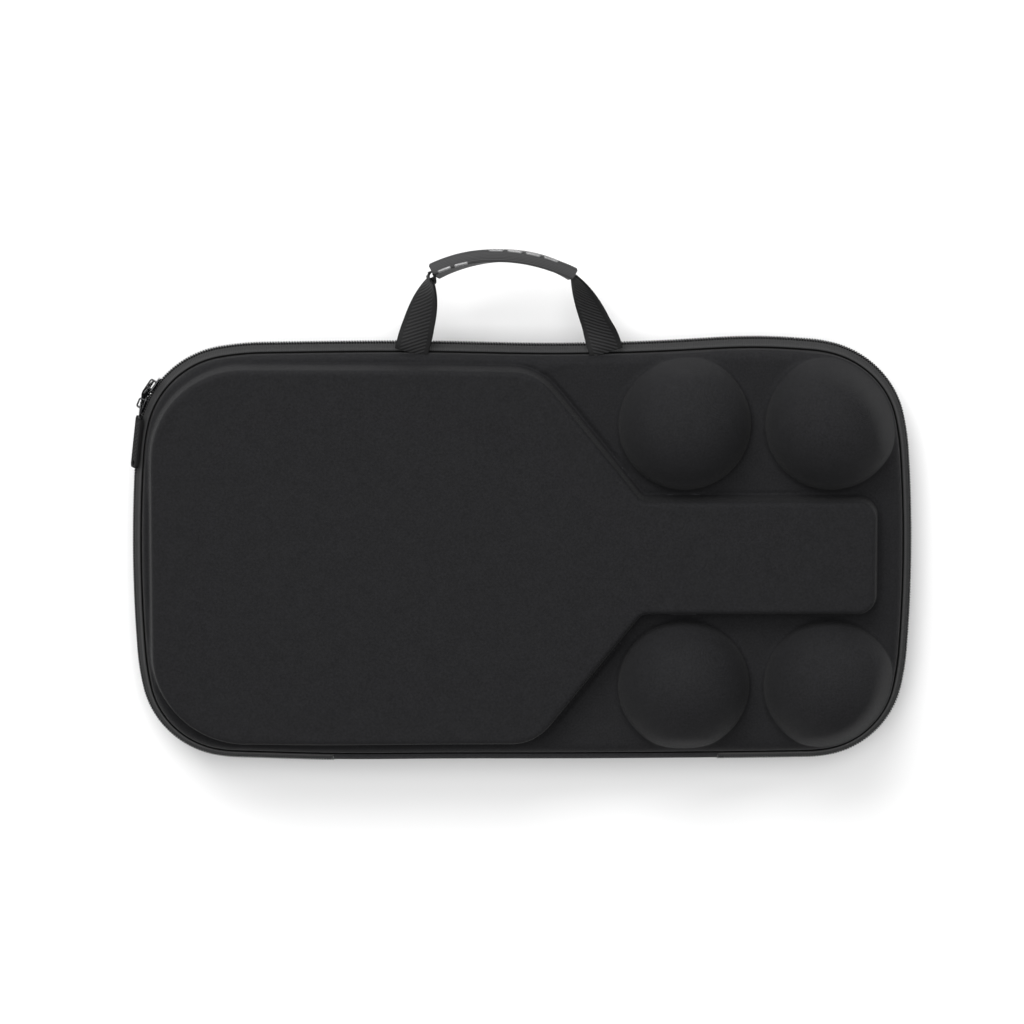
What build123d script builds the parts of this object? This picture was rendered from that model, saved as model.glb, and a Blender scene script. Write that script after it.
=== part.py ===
"""Moulded clamshell case for paddles and balls, in millimetres.

The case lies on its flat back. The origin is the centre of the back face, +X runs towards
the paddle-handle end, +Y towards the carry handle and +Z out of the moulded front.
Two moulded shells meet in a zipped band round the rim and hinge on a cloth spine at -Y.
"""

import math
import os

from build123d import *

# Overall sizes
LENGTH = 460.0  # over the zipper coil, along X
HEIGHT = 251.0  # over the zipper coil, along Y
PARTING_Z = 30.0  # plane where the two coils meet
BAND_HALF = 10.0  # from the parting plane to each shell's seam
SEAM_INSET = 5.2  # how far the seams lie inside the coil's outline

# Outline: five tangent arcs from the middle of an end to the middle of a side
ARC_SWEEPS = (4.0, 9.0, 67.0, 9.0, 1.0)  # degrees, adding up to a quarter turn
CORNER_RADII = (145.0, 53.5, 80.0)  # the three arcs between the end arc and the side arc
SLIDER_CORNER_RADII = (125.0, 58.5, 165.0)  # the rounder corner where the sliders park

# Shell and lining
SHELL_WALL = 3.1
LINING = 0.5
DOME_WALL = 1.7  # the sheet is stretched thin over the ball moulds
RIM_RISE = 5.0  # from the front seam to the flat rim
RIM_INSET = 7.6
BACK_FOOT_INSET = 8.0
BACK_EDGE_RADIUS = 11.0

# Paddle mould on the front shell
PLATEAU_Z = 60.0
MOULD_TAPER = 8.0  # degrees
MOULD_EDGE_RADIUS = 4.6
MOULD_SINK = 4.0  # how far its walls carry on below the rim
BLADE_END_X = -219.4
BLADE_HALF = 113.0
BLADE_CORNER_RADIUS = 49.5
SHOULDER_X = 8.0
SHOULDER_RADIUS = 30.0
NECK_X = 71.0
NECK_RADIUS = 7.0
GRIP_MOULD_HALF = 35.2
GRIP_MOULD_END_X = 209.2
GRIP_MOULD_CORNER = 12.0

# Ball moulds on the front shell
DOME_RADIUS = 39.2
DOME_Z = 41.0
DOME_XS = (95.3, 181.3)
DOME_Y = 77.8
DOME_LIMIT_STEP = 1.0  # the end domes' outer flanks start this far inside the seam
DOME_LIMIT_DRAFT = 8.0
DOME_LIMIT_HEIGHT = 42.0

# Zipper
COIL_GAP = 0.7  # half the groove between the two coils
COIL_HALF = 3.0
COIL_DEPTH = 2.2
TAPE_INSET = 1.4  # tape edge beside the coil
TAPE = 0.9
STOP_LENGTH = 3.0
STOP_PROUD = 0.2

# Binding and spine
BINDING_WIDTH = 2.1
BINDING = 1.2
BINDING_LAP = 1.8
SPINE_START_X = -112.0
SPINE_END_X = 116.0
SPINE_GAP = 0.3
SPINE_INSET = 0.9
SPINE = 1.2

# Net pockets over the ball moulds
NET_START_X = 54.0
NET_INNER_Y = 36.6  # sewn edge beside the paddle-handle mould
NET = 0.8
NET_DROP = 1.0
NET_HEM_WIDTH = 9.0
NET_HEM = 2.0

# Elastic paddle strap in the base
STRAP_X = 128.0
STRAP_WIDTH = 38.0
STRAP = 1.6
STRAP_SPAN = 76.0
STRAP_RISE = 18.0
STRAP_TAB = 16.0
PATCH = 0.8
PATCH_LENGTH = 12.0
PATCH_WIDTH = 32.0

# Carry handle
HANDLE_PIVOT_Y = 121.9
HANDLE_PIVOT_Z = 41.6
WEB_WIDTH = 20.0
WEB = 1.8
LEG_ROOT = 1.2  # web behind the pivot
LEG_ROOT_XS = (-63.5, 48.5)
LEG_SECTIONS = 10
LEG_REACH = 26.0  # how strongly a leg keeps its direction at its ends
GRIP_CENTRE = (-12.5, 89.9)
GRIP_ARC_RADIUS = 87.8
GRIP_ANGLES = (60.5, 117.2)  # right and left end of the grip, degrees
GRIP_WIDTH = 24.0
GRIP = 6.2
GRIP_EDGE_RADIUS = 1.6

# Sliders and pulls
SLIDER_ANGLES = (23.0, 35.0)  # place on the corner arc, degrees above its -X direction
SLIDER_LENGTH = 10.8
SLIDER_NOSE = 9.6
SLIDER_TAIL = 8.4
SLIDER_CLEAR = 0.3
SLIDER_PLATE = 1.0
SLIDER_FLANGE = 0.8
SLIDER_POST_LENGTH = 2.6
SLIDER_POST = 0.9
SLIDER_POST_SETBACK = 1.0
SLIDER_NOSE_CORNER = 2.4
SLIDER_TAIL_CORNER = 1.2
INNER_PLATE_HALF = 3.0
INNER_PLATE_TOP = -2.7
BRIDGE_LENGTH = 6.2
BRIDGE_HEIGHT = 3.6
BRIDGE_WIDTH = 2.0
BRIDGE = 1.0
BRIDGE_EDGE_RADIUS = 1.6
LINK_WIRE = 1.1
LINK_WIDTH = 8.4
LINK_LENGTH = 8.6
TAB_LENGTH = 31.0
TAB_WIDTH = 9.0
TAB = 1.8
TAB_HEAD = 1.5  # from the link's far bar to the tab's end
TAB_HOLE_RADIUS = 1.4
TAB_CLEAR = 0.1
LOWER_TAB_LEAN = 16.5  # degrees in from its link, towards the band
UPPER_SWIVEL = 135.0  # the upper pull hangs past the lower slider over the back half
UPPER_LINK_LEAN = -6.0
UPPER_TAB_LEAN = 27.0

FRONT_SEAM_Z = PARTING_Z + BAND_HALF
BACK_SEAM_Z = PARTING_Z - BAND_HALF
RIM_Z = FRONT_SEAM_Z + RIM_RISE
TALL = 200.0


def quarter_arcs(corner_radii):
    """The arcs from (LENGTH / 2, 0) to (0, HEIGHT / 2): centre x and y, radius, start, sweep."""
    turns = [0.0]
    for sweep in ARC_SWEEPS:
        turns.append(turns[-1] + math.radians(sweep))
    across = [math.cos(a) - math.cos(b) for a, b in zip(turns, turns[1:])]
    up = [math.sin(b) - math.sin(a) for a, b in zip(turns, turns[1:])]
    free_x = LENGTH / 2 - sum(r * c for r, c in zip(corner_radii, across[1:-1]))
    free_y = HEIGHT / 2 - sum(r * c for r, c in zip(corner_radii, up[1:-1]))
    spread = across[0] * up[-1] - across[-1] * up[0]
    end_radius = (free_x * up[-1] - free_y * across[-1]) / spread
    side_radius = (free_y * across[0] - free_x * up[0]) / spread
    arcs = []
    x, y = LENGTH / 2, 0.0
    radii = (end_radius, *corner_radii, side_radius)
    for radius, start, sweep in zip(radii, turns, ARC_SWEEPS):
        centre_x = x - radius * math.cos(start)
        centre_y = y - radius * math.sin(start)
        arcs.append((centre_x, centre_y, radius, math.degrees(start), sweep))
        x = centre_x + radius * math.cos(start + math.radians(sweep))
        y = centre_y + radius * math.sin(start + math.radians(sweep))
    return arcs


def left_side(arcs):
    """The same arcs mirrored to -X, still in counter-clockwise order."""
    return [(-x, y, r, 180 - start - sweep, sweep) for x, y, r, start, sweep in arcs[::-1]]


def ring_arcs():
    """All arcs of the outline in order, counter-clockwise from the +X end."""
    plain = quarter_arcs(CORNER_RADII)
    upper = plain + left_side(quarter_arcs(SLIDER_CORNER_RADII))
    lower = [(-x, -y, r, start + 180, sweep) for x, y, r, start, sweep in plain + left_side(plain)]
    return upper + lower


OUTLINE_ARCS = ring_arcs()
SLIDER_ARC_X, SLIDER_ARC_Y, SLIDER_ARC_RADIUS = left_side(quarter_arcs(SLIDER_CORNER_RADII))[2][:3]


def outline(inset, z=0.0):
    """Face inside the case's outline at height z; every inset shares the same arc centres."""
    arcs = [CenterArc((x, y), r - inset, start, sweep) for x, y, r, start, sweep in OUTLINE_ARCS]
    return Pos(0, 0, z) * make_face(Wire(arcs))


def flare(low_inset, low_z, high_inset, high_z):
    """Solid between the outline at one height and inset and the outline at another."""
    return loft([outline(low_inset, low_z), outline(high_inset, high_z)], ruled=True)


def flared_ring(low_inset, low_z, high_inset, high_z, depth):
    outer = flare(low_inset, low_z, high_inset, high_z)
    return outer - flare(low_inset + depth, low_z, high_inset + depth, high_z)


def flat_ring(outer_inset, inner_inset, low_z, high_z):
    face = outline(outer_inset) - outline(inner_inset)
    return Pos(0, 0, low_z) * extrude(face, high_z - low_z)


def slab(low_x, high_x, low_y, high_y, low_z=-TALL, high_z=TALL):
    size = (high_x - low_x, high_y - low_y, high_z - low_z)
    middle = ((low_x + high_x) / 2, (low_y + high_y) / 2, (low_z + high_z) / 2)
    return Pos(*middle) * Box(*size)


def mirrored(shape):
    """The same piece on the other side of the parting plane."""
    return mirror(shape, about=Plane.XY.offset(PARTING_Z))


def paddle_mould(depth):
    """The raised paddle shape, its surface depth millimetres under the outer one."""
    lower = [
        (BLADE_END_X, -BLADE_HALF),
        (SHOULDER_X, -BLADE_HALF),
        (NECK_X, -GRIP_MOULD_HALF),
        (GRIP_MOULD_END_X, -GRIP_MOULD_HALF),
    ]
    radii = [BLADE_CORNER_RADIUS, SHOULDER_RADIUS, NECK_RADIUS, GRIP_MOULD_CORNER]
    upper = [(x, -y) for x, y in lower[::-1]]
    foot = make_face(FilletPolyline(*lower, *upper, radius=radii + radii[::-1], close=True))
    sink = MOULD_SINK - depth
    foot = offset(foot, sink * math.tan(math.radians(MOULD_TAPER)) - depth)
    rise = PLATEAU_Z - RIM_Z + sink
    raised = Pos(0, 0, PLATEAU_Z - depth - rise) * extrude(foot, rise, taper=MOULD_TAPER)
    return fillet(raised.edges().group_by(Axis.Z)[-1], MOULD_EDGE_RADIUS - depth)


def ball_mould(x, y, depth, dome_depth):
    """One ball dome; the end pair is cut off where it would pass the shell's own flank."""
    ball = Pos(x, y, DOME_Z) * Sphere(DOME_RADIUS - dome_depth)
    if x < max(DOME_XS):
        return ball & slab(0, LENGTH, -HEIGHT, HEIGHT, FRONT_SEAM_Z, TALL)
    start = SEAM_INSET + DOME_LIMIT_STEP + depth
    top_z = FRONT_SEAM_Z + DOME_LIMIT_HEIGHT
    return ball & flare(start, FRONT_SEAM_Z, start + DOME_LIMIT_DRAFT, top_z)


def front_form(depth, dome_depth):
    """Everything under the front shell's surface, or under a surface depth deeper."""
    form = flare(SEAM_INSET + depth, FRONT_SEAM_Z, RIM_INSET + depth, RIM_Z - depth)
    form += paddle_mould(depth)
    for x in DOME_XS:
        for y in (DOME_Y, -DOME_Y):
            form += ball_mould(x, y, depth, dome_depth)
    return form


def back_form(depth):
    form = flare(BACK_FOOT_INSET + depth, depth, SEAM_INSET + depth, BACK_SEAM_Z)
    return fillet(form.edges().group_by(Axis.Z)[0], BACK_EDGE_RADIUS - depth)


def spine_zone(grow=0.0):
    """The stretch of the -Y side where the cloth spine takes the zipper's place."""
    return slab(SPINE_START_X - grow, SPINE_END_X + grow, -HEIGHT, -HEIGHT / 4)


def sewn_strip(edge_inset, edge_z, depth):
    """Cloth from the front seam to edge_z, with the edge that is sewn under the shell."""
    strip = flared_ring(edge_inset, edge_z, SEAM_INSET, FRONT_SEAM_Z, depth)
    inner = SEAM_INSET + SHELL_WALL + LINING
    return strip + flat_ring(SEAM_INSET, inner, FRONT_SEAM_Z - depth, FRONT_SEAM_Z)


def front_zip_tape():
    tape = sewn_strip(TAPE_INSET, PARTING_Z + COIL_HALF, TAPE)
    return tape - spine_zone(SPINE_GAP)


def front_spine():
    strip = sewn_strip(SPINE_INSET, PARTING_Z + SPINE_GAP, SPINE)
    return strip & spine_zone()


def front_zip_coil():
    coil = flat_ring(0.0, COIL_DEPTH, PARTING_Z + COIL_GAP, PARTING_Z + COIL_HALF)
    return coil - spine_zone(SPINE_GAP + STOP_LENGTH)


def zip_stops():
    """The two stops that close the base coil's ends beside the spine."""
    ring = flat_ring(-STOP_PROUD, COIL_DEPTH, PARTING_Z - COIL_HALF, PARTING_Z - COIL_GAP)
    return (ring & spine_zone(SPINE_GAP + STOP_LENGTH)) - spine_zone(SPINE_GAP)


def front_binding():
    """Cloth binding that hides the sewn edges inside the front half."""
    inner = SEAM_INSET + SHELL_WALL + LINING
    seam_low = FRONT_SEAM_Z - SPINE
    face = flat_ring(inner - BINDING_LAP, inner + BINDING, seam_low - BINDING, seam_low)
    return face + flat_ring(inner, inner + BINDING, seam_low - BINDING, FRONT_SEAM_Z)


def net_sheet(thickness, start_x, end_x):
    """Flat sheet inside the binding, over the ball moulds on the +Y side."""
    inset = SEAM_INSET + SHELL_WALL + LINING + BINDING
    middle_z = FRONT_SEAM_Z - NET_DROP - NET / 2
    sheet = Pos(0, 0, middle_z - thickness / 2) * extrude(outline(inset), thickness)
    return sheet & slab(start_x, end_x, NET_INNER_Y, HEIGHT)


def ball_net():
    """Net over two ball moulds, sewn in on three sides and open towards the blade."""
    low_z = FRONT_SEAM_Z - NET_DROP - NET
    lining_z = RIM_Z - SHELL_WALL - LINING
    sewn = slab(NECK_X, GRIP_MOULD_END_X, NET_INNER_Y, NET_INNER_Y + NET, low_z, lining_z)
    return net_sheet(NET, NET_START_X, LENGTH) + sewn


def net_hem():
    """Elastic hem along a net's open side."""
    return net_sheet(NET_HEM, NET_START_X - NET_HEM_WIDTH, NET_START_X)


def floor_z():
    return SHELL_WALL + LINING


def paddle_strap():
    """Elastic strap that bows up over the paddle's handle, with a flat tab at each end."""
    radius = ((STRAP_SPAN / 2) ** 2 + STRAP_RISE**2) / (2 * STRAP_RISE)
    centre_z = floor_z() + STRAP_RISE - radius
    bow = Cylinder(radius, STRAP_WIDTH) - Cylinder(radius - STRAP, STRAP_WIDTH)
    bow = Pos(STRAP_X, 0, centre_z) * Rot(0, 90, 0) * bow
    above_floor = slab(0, LENGTH, -HEIGHT, HEIGHT, floor_z(), TALL)
    low_x = STRAP_X - STRAP_WIDTH / 2
    high_x = STRAP_X + STRAP_WIDTH / 2
    start_y = STRAP_SPAN / 2 - STRAP
    end_y = STRAP_SPAN / 2 + STRAP_TAB
    tab = slab(low_x, high_x, start_y, end_y, floor_z(), floor_z() + STRAP)
    return (bow & above_floor) + tab + mirror(tab, about=Plane.XZ)


def strap_patches():
    """Stitched reinforcing patches over the strap's two tabs."""
    low_z = floor_z() + STRAP
    middle_y = (STRAP_SPAN + STRAP_TAB) / 2 + BINDING
    patch = Pos(STRAP_X, middle_y, low_z + PATCH / 2) * Box(PATCH_WIDTH, PATCH_LENGTH, PATCH)
    return Compound([*patch.solids(), *mirror(patch, about=Plane.XZ).solids()])


def web_section(place, along, twist):
    """One cross-section of the webbing, twisted about its own run; 90 degrees is on edge."""
    side = Vector(along.Y, -along.X, 0)
    across = side * math.cos(twist) + Vector(0, 0, 1) * math.sin(twist)
    return Plane(origin=place, x_dir=across, z_dir=along) * Rectangle(WEB_WIDTH, WEB)


def grip_point(angle):
    x = GRIP_CENTRE[0] + GRIP_ARC_RADIUS * math.cos(math.radians(angle))
    y = GRIP_CENTRE[1] + GRIP_ARC_RADIUS * math.sin(math.radians(angle))
    return Vector(x, y, HANDLE_PIVOT_Z)


def handle_leg(root_x, angle, turn):
    """Webbing from the seam to one end of the grip, turning a quarter turn on the way."""
    start = Vector(root_x, HANDLE_PIVOT_Y - LEG_ROOT, HANDLE_PIVOT_Z)
    end = grip_point(angle)
    heading = math.radians(angle - 90 * turn)
    leave = Vector(0, 1, 0) * LEG_REACH
    arrive = Vector(-math.cos(heading), -math.sin(heading), 0) * LEG_REACH * -1
    sections = []
    for step in range(LEG_SECTIONS):
        t = step / (LEG_SECTIONS - 1)
        place = start * (2 * t**3 - 3 * t**2 + 1) + leave * (t**3 - 2 * t**2 + t)
        place += end * (3 * t**2 - 2 * t**3) + arrive * (t**3 - t**2)
        along = start * (6 * t**2 - 6 * t) + leave * (3 * t**2 - 4 * t + 1)
        along += end * (6 * t - 6 * t**2) + arrive * (3 * t**2 - 2 * t)
        twist = math.pi / 2 * (3 * t**2 - 2 * t**3)
        sections.append(web_section(place, along.normalized(), twist))
    return loft(sections, ruled=True)


def arched_bar(thickness, width):
    """A bar that follows the grip's arc, centred on the handle's plane."""
    low_angle, high_angle = GRIP_ANGLES
    outer = GRIP_ARC_RADIUS + thickness / 2
    inner = GRIP_ARC_RADIUS - thickness / 2
    sweep = high_angle - low_angle
    edges = [CenterArc((0, 0), outer, low_angle, sweep), CenterArc((0, 0), inner, low_angle, sweep)]
    edges.append(Line(edges[0] @ 0, edges[1] @ 0))
    edges.append(Line(edges[0] @ 1, edges[1] @ 1))
    face = make_face(edges)
    low_z = HANDLE_PIVOT_Z - width / 2
    return Pos(*GRIP_CENTRE, low_z) * extrude(face, width)


def handle_webbing():
    right_angle, left_angle = GRIP_ANGLES
    web = arched_bar(WEB, WEB_WIDTH)
    web += handle_leg(LEG_ROOT_XS[0], left_angle, 1)
    web += handle_leg(LEG_ROOT_XS[1], right_angle, -1)
    return web


def handle_grip():
    grip = arched_bar(GRIP, GRIP_WIDTH)
    long_edges = [edge for edge in grip.edges() if edge.geom_type == GeomType.CIRCLE]
    return fillet(long_edges, GRIP_EDGE_RADIUS) - arched_bar(WEB, WEB_WIDTH)


def slider_place(angle, flip):
    """Frame of a slider: X along the coil, Y outwards, Z across the coil."""
    turn = math.radians(angle)
    origin = (
        SLIDER_ARC_X - SLIDER_ARC_RADIUS * math.cos(turn),
        SLIDER_ARC_Y + SLIDER_ARC_RADIUS * math.sin(turn),
        PARTING_Z,
    )
    along = (flip * math.sin(turn), flip * math.cos(turn), 0)
    return Plane(origin=origin, x_dir=along, z_dir=(0, 0, flip))


def slider_body(base_side):
    """Slider seen from outside, its nose at +X; base_side is the side of the base's coil."""
    half = SLIDER_LENGTH / 2
    corners = [
        (-half, -SLIDER_TAIL / 2),
        (half, -SLIDER_NOSE / 2),
        (half, SLIDER_NOSE / 2),
        (-half, SLIDER_TAIL / 2),
    ]
    radii = [SLIDER_TAIL_CORNER, SLIDER_NOSE_CORNER, SLIDER_NOSE_CORNER, SLIDER_TAIL_CORNER]
    face = make_face(FilletPolyline(*corners, radius=radii, close=True))
    flat = Plane(origin=(0, 0, 0), x_dir=(1, 0, 0), z_dir=(0, -1, 0))
    plate_top = SLIDER_CLEAR + SLIDER_PLATE
    plate = Pos(0, plate_top, 0) * (flat * extrude(face, SLIDER_PLATE))
    strip = plate & slab(-half, half, -TALL, TALL, SLIDER_TAIL / 2 - SLIDER_FLANGE, TALL)
    flange = Pos(0, -SLIDER_PLATE, 0) * strip
    if base_side < 0:
        flange = mirror(flange, about=Plane.XY)
    end_x = half - SLIDER_POST_SETBACK
    start_x = end_x - SLIDER_POST_LENGTH
    post_half = SLIDER_POST / 2
    post = slab(start_x, end_x, INNER_PLATE_TOP, plate_top, -post_half, post_half)
    inner_low = INNER_PLATE_TOP - SLIDER_PLATE
    inner = slab(-half, half, inner_low, INNER_PLATE_TOP, -INNER_PLATE_HALF, INNER_PLATE_HALF)
    bridge = bridge_arch(plate_top)
    return plate + flange + post + inner + bridge


def bridge_arch(plate_top):
    """Low arch over the slider's plate that the pull's link passes under."""
    outer = arch_face(BRIDGE_LENGTH / 2, BRIDGE_HEIGHT, BRIDGE_EDGE_RADIUS)
    inner = arch_face(BRIDGE_LENGTH / 2 - BRIDGE, BRIDGE_HEIGHT - BRIDGE, BRIDGE_EDGE_RADIUS - BRIDGE)
    return Pos(0, plate_top, -BRIDGE_WIDTH / 2) * extrude(outer - inner, BRIDGE_WIDTH)


def arch_face(half, height, radius):
    points = [(-half, 0), (-half, height), (half, height), (half, 0)]
    return make_face(FilletPolyline(*points, radius=[0, radius, radius, 0], close=True))


def link_height():
    """Height of the pull's hinge line over the coil."""
    return SLIDER_CLEAR + SLIDER_PLATE + (BRIDGE_HEIGHT - BRIDGE) / 2


def facing_out(face, thickness):
    """A face drawn along the coil and across it, as a plate centred on the hinge line."""
    flat = Plane(origin=(0, 0, 0), x_dir=(1, 0, 0), z_dir=(0, -1, 0))
    return flat * extrude(face, thickness / 2, both=True)


def link_ring(grow):
    """Closed wire link, hinged at the origin about Z and running towards -X."""
    wire = LINK_WIRE + 2 * grow
    outer = Rectangle(LINK_LENGTH + 2 * grow, LINK_WIDTH + 2 * grow)
    inner = offset(outer, -wire)
    ring = facing_out(outer - inner, wire)
    return Pos((LINK_WIRE - LINK_LENGTH) / 2, 0, 0) * ring


def pull_tab(lean):
    """Moulded tab round the link's far bar, leaning in from it, with a hole near its tip."""
    face = RectangleRounded(TAB_LENGTH, TAB_WIDTH, TAB_WIDTH / 4)
    hole_x = -TAB_LENGTH / 2 + 2 * TAB_HOLE_RADIUS
    face -= Pos(hole_x, 0) * Circle(TAB_HOLE_RADIUS)
    tab = Pos(TAB_HEAD - TAB_LENGTH / 2, 0, 0) * facing_out(face, TAB)
    far_bar = Pos(LINK_WIRE - LINK_LENGTH, 0, 0)
    return far_bar * Rot(0, 0, lean) * tab - link_ring(TAB_CLEAR)


def write(node, shape):
    export_step(shape, f"parts/{node}.step")


def main():
    os.makedirs("parts", exist_ok=True)
    lining_depth = SHELL_WALL + LINING
    outer = front_form(0.0, 0.0)
    middle = front_form(SHELL_WALL, DOME_WALL)
    inner = front_form(lining_depth, DOME_WALL + LINING)
    write("front_shell", outer - middle)
    write("front_lining", middle - inner)
    write("back_shell", back_form(0.0) - back_form(SHELL_WALL))
    write("back_lining", back_form(SHELL_WALL) - back_form(lining_depth))
    for name, make in (
        ("zip_tape", front_zip_tape),
        ("zip_coil", front_zip_coil),
        ("spine", front_spine),
        ("binding", front_binding),
    ):
        piece = make()
        write(f"front_{name}", piece)
        write(f"back_{name}", mirrored(piece))
    write("zip_stops", zip_stops())
    write("upper_ball_net", ball_net())
    write("lower_ball_net", mirror(ball_net(), about=Plane.XZ))
    write("upper_net_hem", net_hem())
    write("lower_net_hem", mirror(net_hem(), about=Plane.XZ))
    write("paddle_strap", paddle_strap())
    write("strap_patches", strap_patches())
    write("handle_webbing", handle_webbing())
    write("handle_grip", handle_grip())

    lower_angle, upper_angle = SLIDER_ANGLES
    hinge = Pos(0, link_height(), 0)
    lower = slider_place(lower_angle, 1)
    upper = slider_place(upper_angle, -1)
    upper_pull = upper * hinge * Rot(0, UPPER_SWIVEL, 0) * Rot(0, 0, UPPER_LINK_LEAN)
    write("lower_slider", lower * slider_body(-1))
    write("lower_pull_link", lower * hinge * link_ring(0))
    write("lower_pull_tab", lower * hinge * pull_tab(LOWER_TAB_LEAN))
    write("upper_slider", upper * slider_body(1))
    write("upper_pull_link", upper_pull * link_ring(0))
    write("upper_pull_tab", upper_pull * pull_tab(UPPER_TAB_LEAN))


main()
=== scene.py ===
"""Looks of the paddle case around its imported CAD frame. Shapes are worked out in millimetres."""

import math

import bpy
import numpy as np
from mathutils import Matrix, Vector


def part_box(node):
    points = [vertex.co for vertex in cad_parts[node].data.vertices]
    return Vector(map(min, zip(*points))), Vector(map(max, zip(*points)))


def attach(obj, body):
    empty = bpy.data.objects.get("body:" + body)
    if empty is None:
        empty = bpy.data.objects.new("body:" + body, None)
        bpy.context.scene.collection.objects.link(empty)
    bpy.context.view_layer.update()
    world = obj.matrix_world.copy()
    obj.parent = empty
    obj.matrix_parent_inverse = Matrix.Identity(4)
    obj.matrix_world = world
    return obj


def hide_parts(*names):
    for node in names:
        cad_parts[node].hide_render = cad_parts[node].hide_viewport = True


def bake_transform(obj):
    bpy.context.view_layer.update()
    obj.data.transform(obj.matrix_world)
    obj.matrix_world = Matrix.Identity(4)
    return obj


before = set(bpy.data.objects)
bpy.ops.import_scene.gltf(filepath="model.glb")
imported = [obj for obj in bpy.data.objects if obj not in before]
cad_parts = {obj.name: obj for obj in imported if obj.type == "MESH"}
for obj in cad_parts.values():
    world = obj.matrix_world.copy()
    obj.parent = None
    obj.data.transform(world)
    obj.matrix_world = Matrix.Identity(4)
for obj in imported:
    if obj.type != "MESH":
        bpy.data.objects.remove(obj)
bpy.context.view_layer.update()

MM = 0.001


def corner_mm(node, high):
    """One corner of a CAD node's box in millimetres, as an array."""
    return np.array(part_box(node)[1 if high else 0]) / MM


# Sizes of the case as in the CAD model
LENGTH = corner_mm("back_zip_coil", True)[0] - corner_mm("back_zip_coil", False)[0]
HEIGHT = 251.0
PARTING_Z = 30.0
BAND_HALF = 10.0
SEAM_INSET = 5.2
ARC_SWEEPS = (4.0, 9.0, 67.0, 9.0, 1.0)
CORNER_RADII = (145.0, 53.5, 80.0)
SLIDER_CORNER_RADII = (125.0, 58.5, 165.0)
SHELL_WALL = 3.1
LINING = 0.5
DOME_WALL = 1.7
RIM_RISE = 5.0
BACK_FOOT_INSET = 8.0
BACK_EDGE_RADIUS = 11.0
PLATEAU_Z = 60.0
MOULD_TAPER = math.radians(8.0)
BLADE_END_X = -219.4
BLADE_HALF = 113.0
SHOULDER_X = 8.0
SHOULDER_RADIUS = 30.0
NECK_X = 71.0
NECK_RADIUS = 7.0
GRIP_MOULD_HALF = 35.2
GRIP_MOULD_END_X = 209.2
GRIP_MOULD_CORNER = 12.0
DOME_RADIUS = 39.2
DOME_Z = 41.0
DOME_XS = (95.3, 181.3)
DOME_Y = 77.8
DOMES = [(x, y) for x in DOME_XS for y in (DOME_Y, -DOME_Y)]
SPINE_START_X = -112.0
SPINE_END_X = 116.0
SPINE_GAP = 0.3
HANDLE_PIVOT_Z = 41.6
WEB_WIDTH = 20.0
WEB = 1.8
GRIP_CENTRE = (-12.5, 89.9)
GRIP_ANGLES = (60.5, 117.2)
GRIP_WIDTH = 24.0
SLIDER_ANGLES = (23.0, 35.0)

FRONT_SEAM_Z = PARTING_Z + BAND_HALF
BACK_SEAM_Z = PARTING_Z - BAND_HALF
RIM_Z = FRONT_SEAM_Z + RIM_RISE

# Sizes that leave the CAD model's a little, to follow the real case more closely
BLADE_CORNER_RADIUS = 56.0
DOME_LIMIT_STEP = 1.0
DOME_LIMIT_SLOPE = 3.0
LEG_ROOT_XS = (-65.0, 49.3)
GRIP_ARC_RADIUS = 86.6
GRIP = 7.6

# Finer shape of the moulded cloth
CLOTH_EDGE_RADIUS = 3.2
INNER_EDGE_RADIUS = 5.0
FOOT_FILLET = 2.0
DOME_FILLET = 3.2
RIM_CROWN_WIDTH = 7.4
SHELL_EDGE_INSET = 5.85
FOOT_GROOVE = 0.9
FOOT_GROOVE_WIDTH = 0.9
CREASE = 1.5  # how much deeper and wider the groove is along the mould's slanting sides
CREASE_RUN = (10.0, 66.0)
CREASE_FADE = 12.0
VALLEY_BLEND = 1.2  # how softly the paddle mould and a ball mould meet
FLANK_BLEND = 13.0  # how softly a ball mould's flank is cut off beside the seam
SHELL_STEP = 0.8  # mesh steps
LINING_STEP = 1.6
FRONT_LINING_STEP = 1.1
FLOOR_RINGS = 11
RING_DEPTH = 48.0
LINING_GAP = 0.6
LINING_ROUNDS = 4
ROOF_SHARE = 0.6  # the least depth of an inner layer under the outer one
ROOF_REACH = 1.1
GATHER = 0.6  # how strongly mesh points are drawn to the steep walls
PADDLE_STRETCH = (2.0, 7.0)  # middle and half width of such a wall's stretch
DOME_STRETCH = (1.0, 6.0)
EDGE_CALM = 4.0
THIN_MARGIN = 2.0  # where the sheet grows thin round a ball mould
THIN_FADE = 6.0
SOFTEN_START_Y = 92.0
# Where the stretched cloth leaves the plain outline: middle x, half length, how far out
UPPER_SWELLS = ((16.0, 60.0, -1.9), (140.0, 45.0, 3.3))
LOWER_SWELLS = ((-110.0, 50.0, 1.0),)


# ---------------------------------------------------------------- helpers


def unit(vectors):
    """The same vectors at length 1."""
    return vectors / np.linalg.norm(vectors, axis=1)[:, None]


def ease(share):
    """A share from 0 to 1 with a soft start and end."""
    return share * share * (3 - 2 * share)


def full_turn(count):
    """Angles evenly spread round a circle."""
    return np.linspace(0, 2 * math.pi, count, endpoint=False)


# ---------------------------------------------------------------- outline


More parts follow.
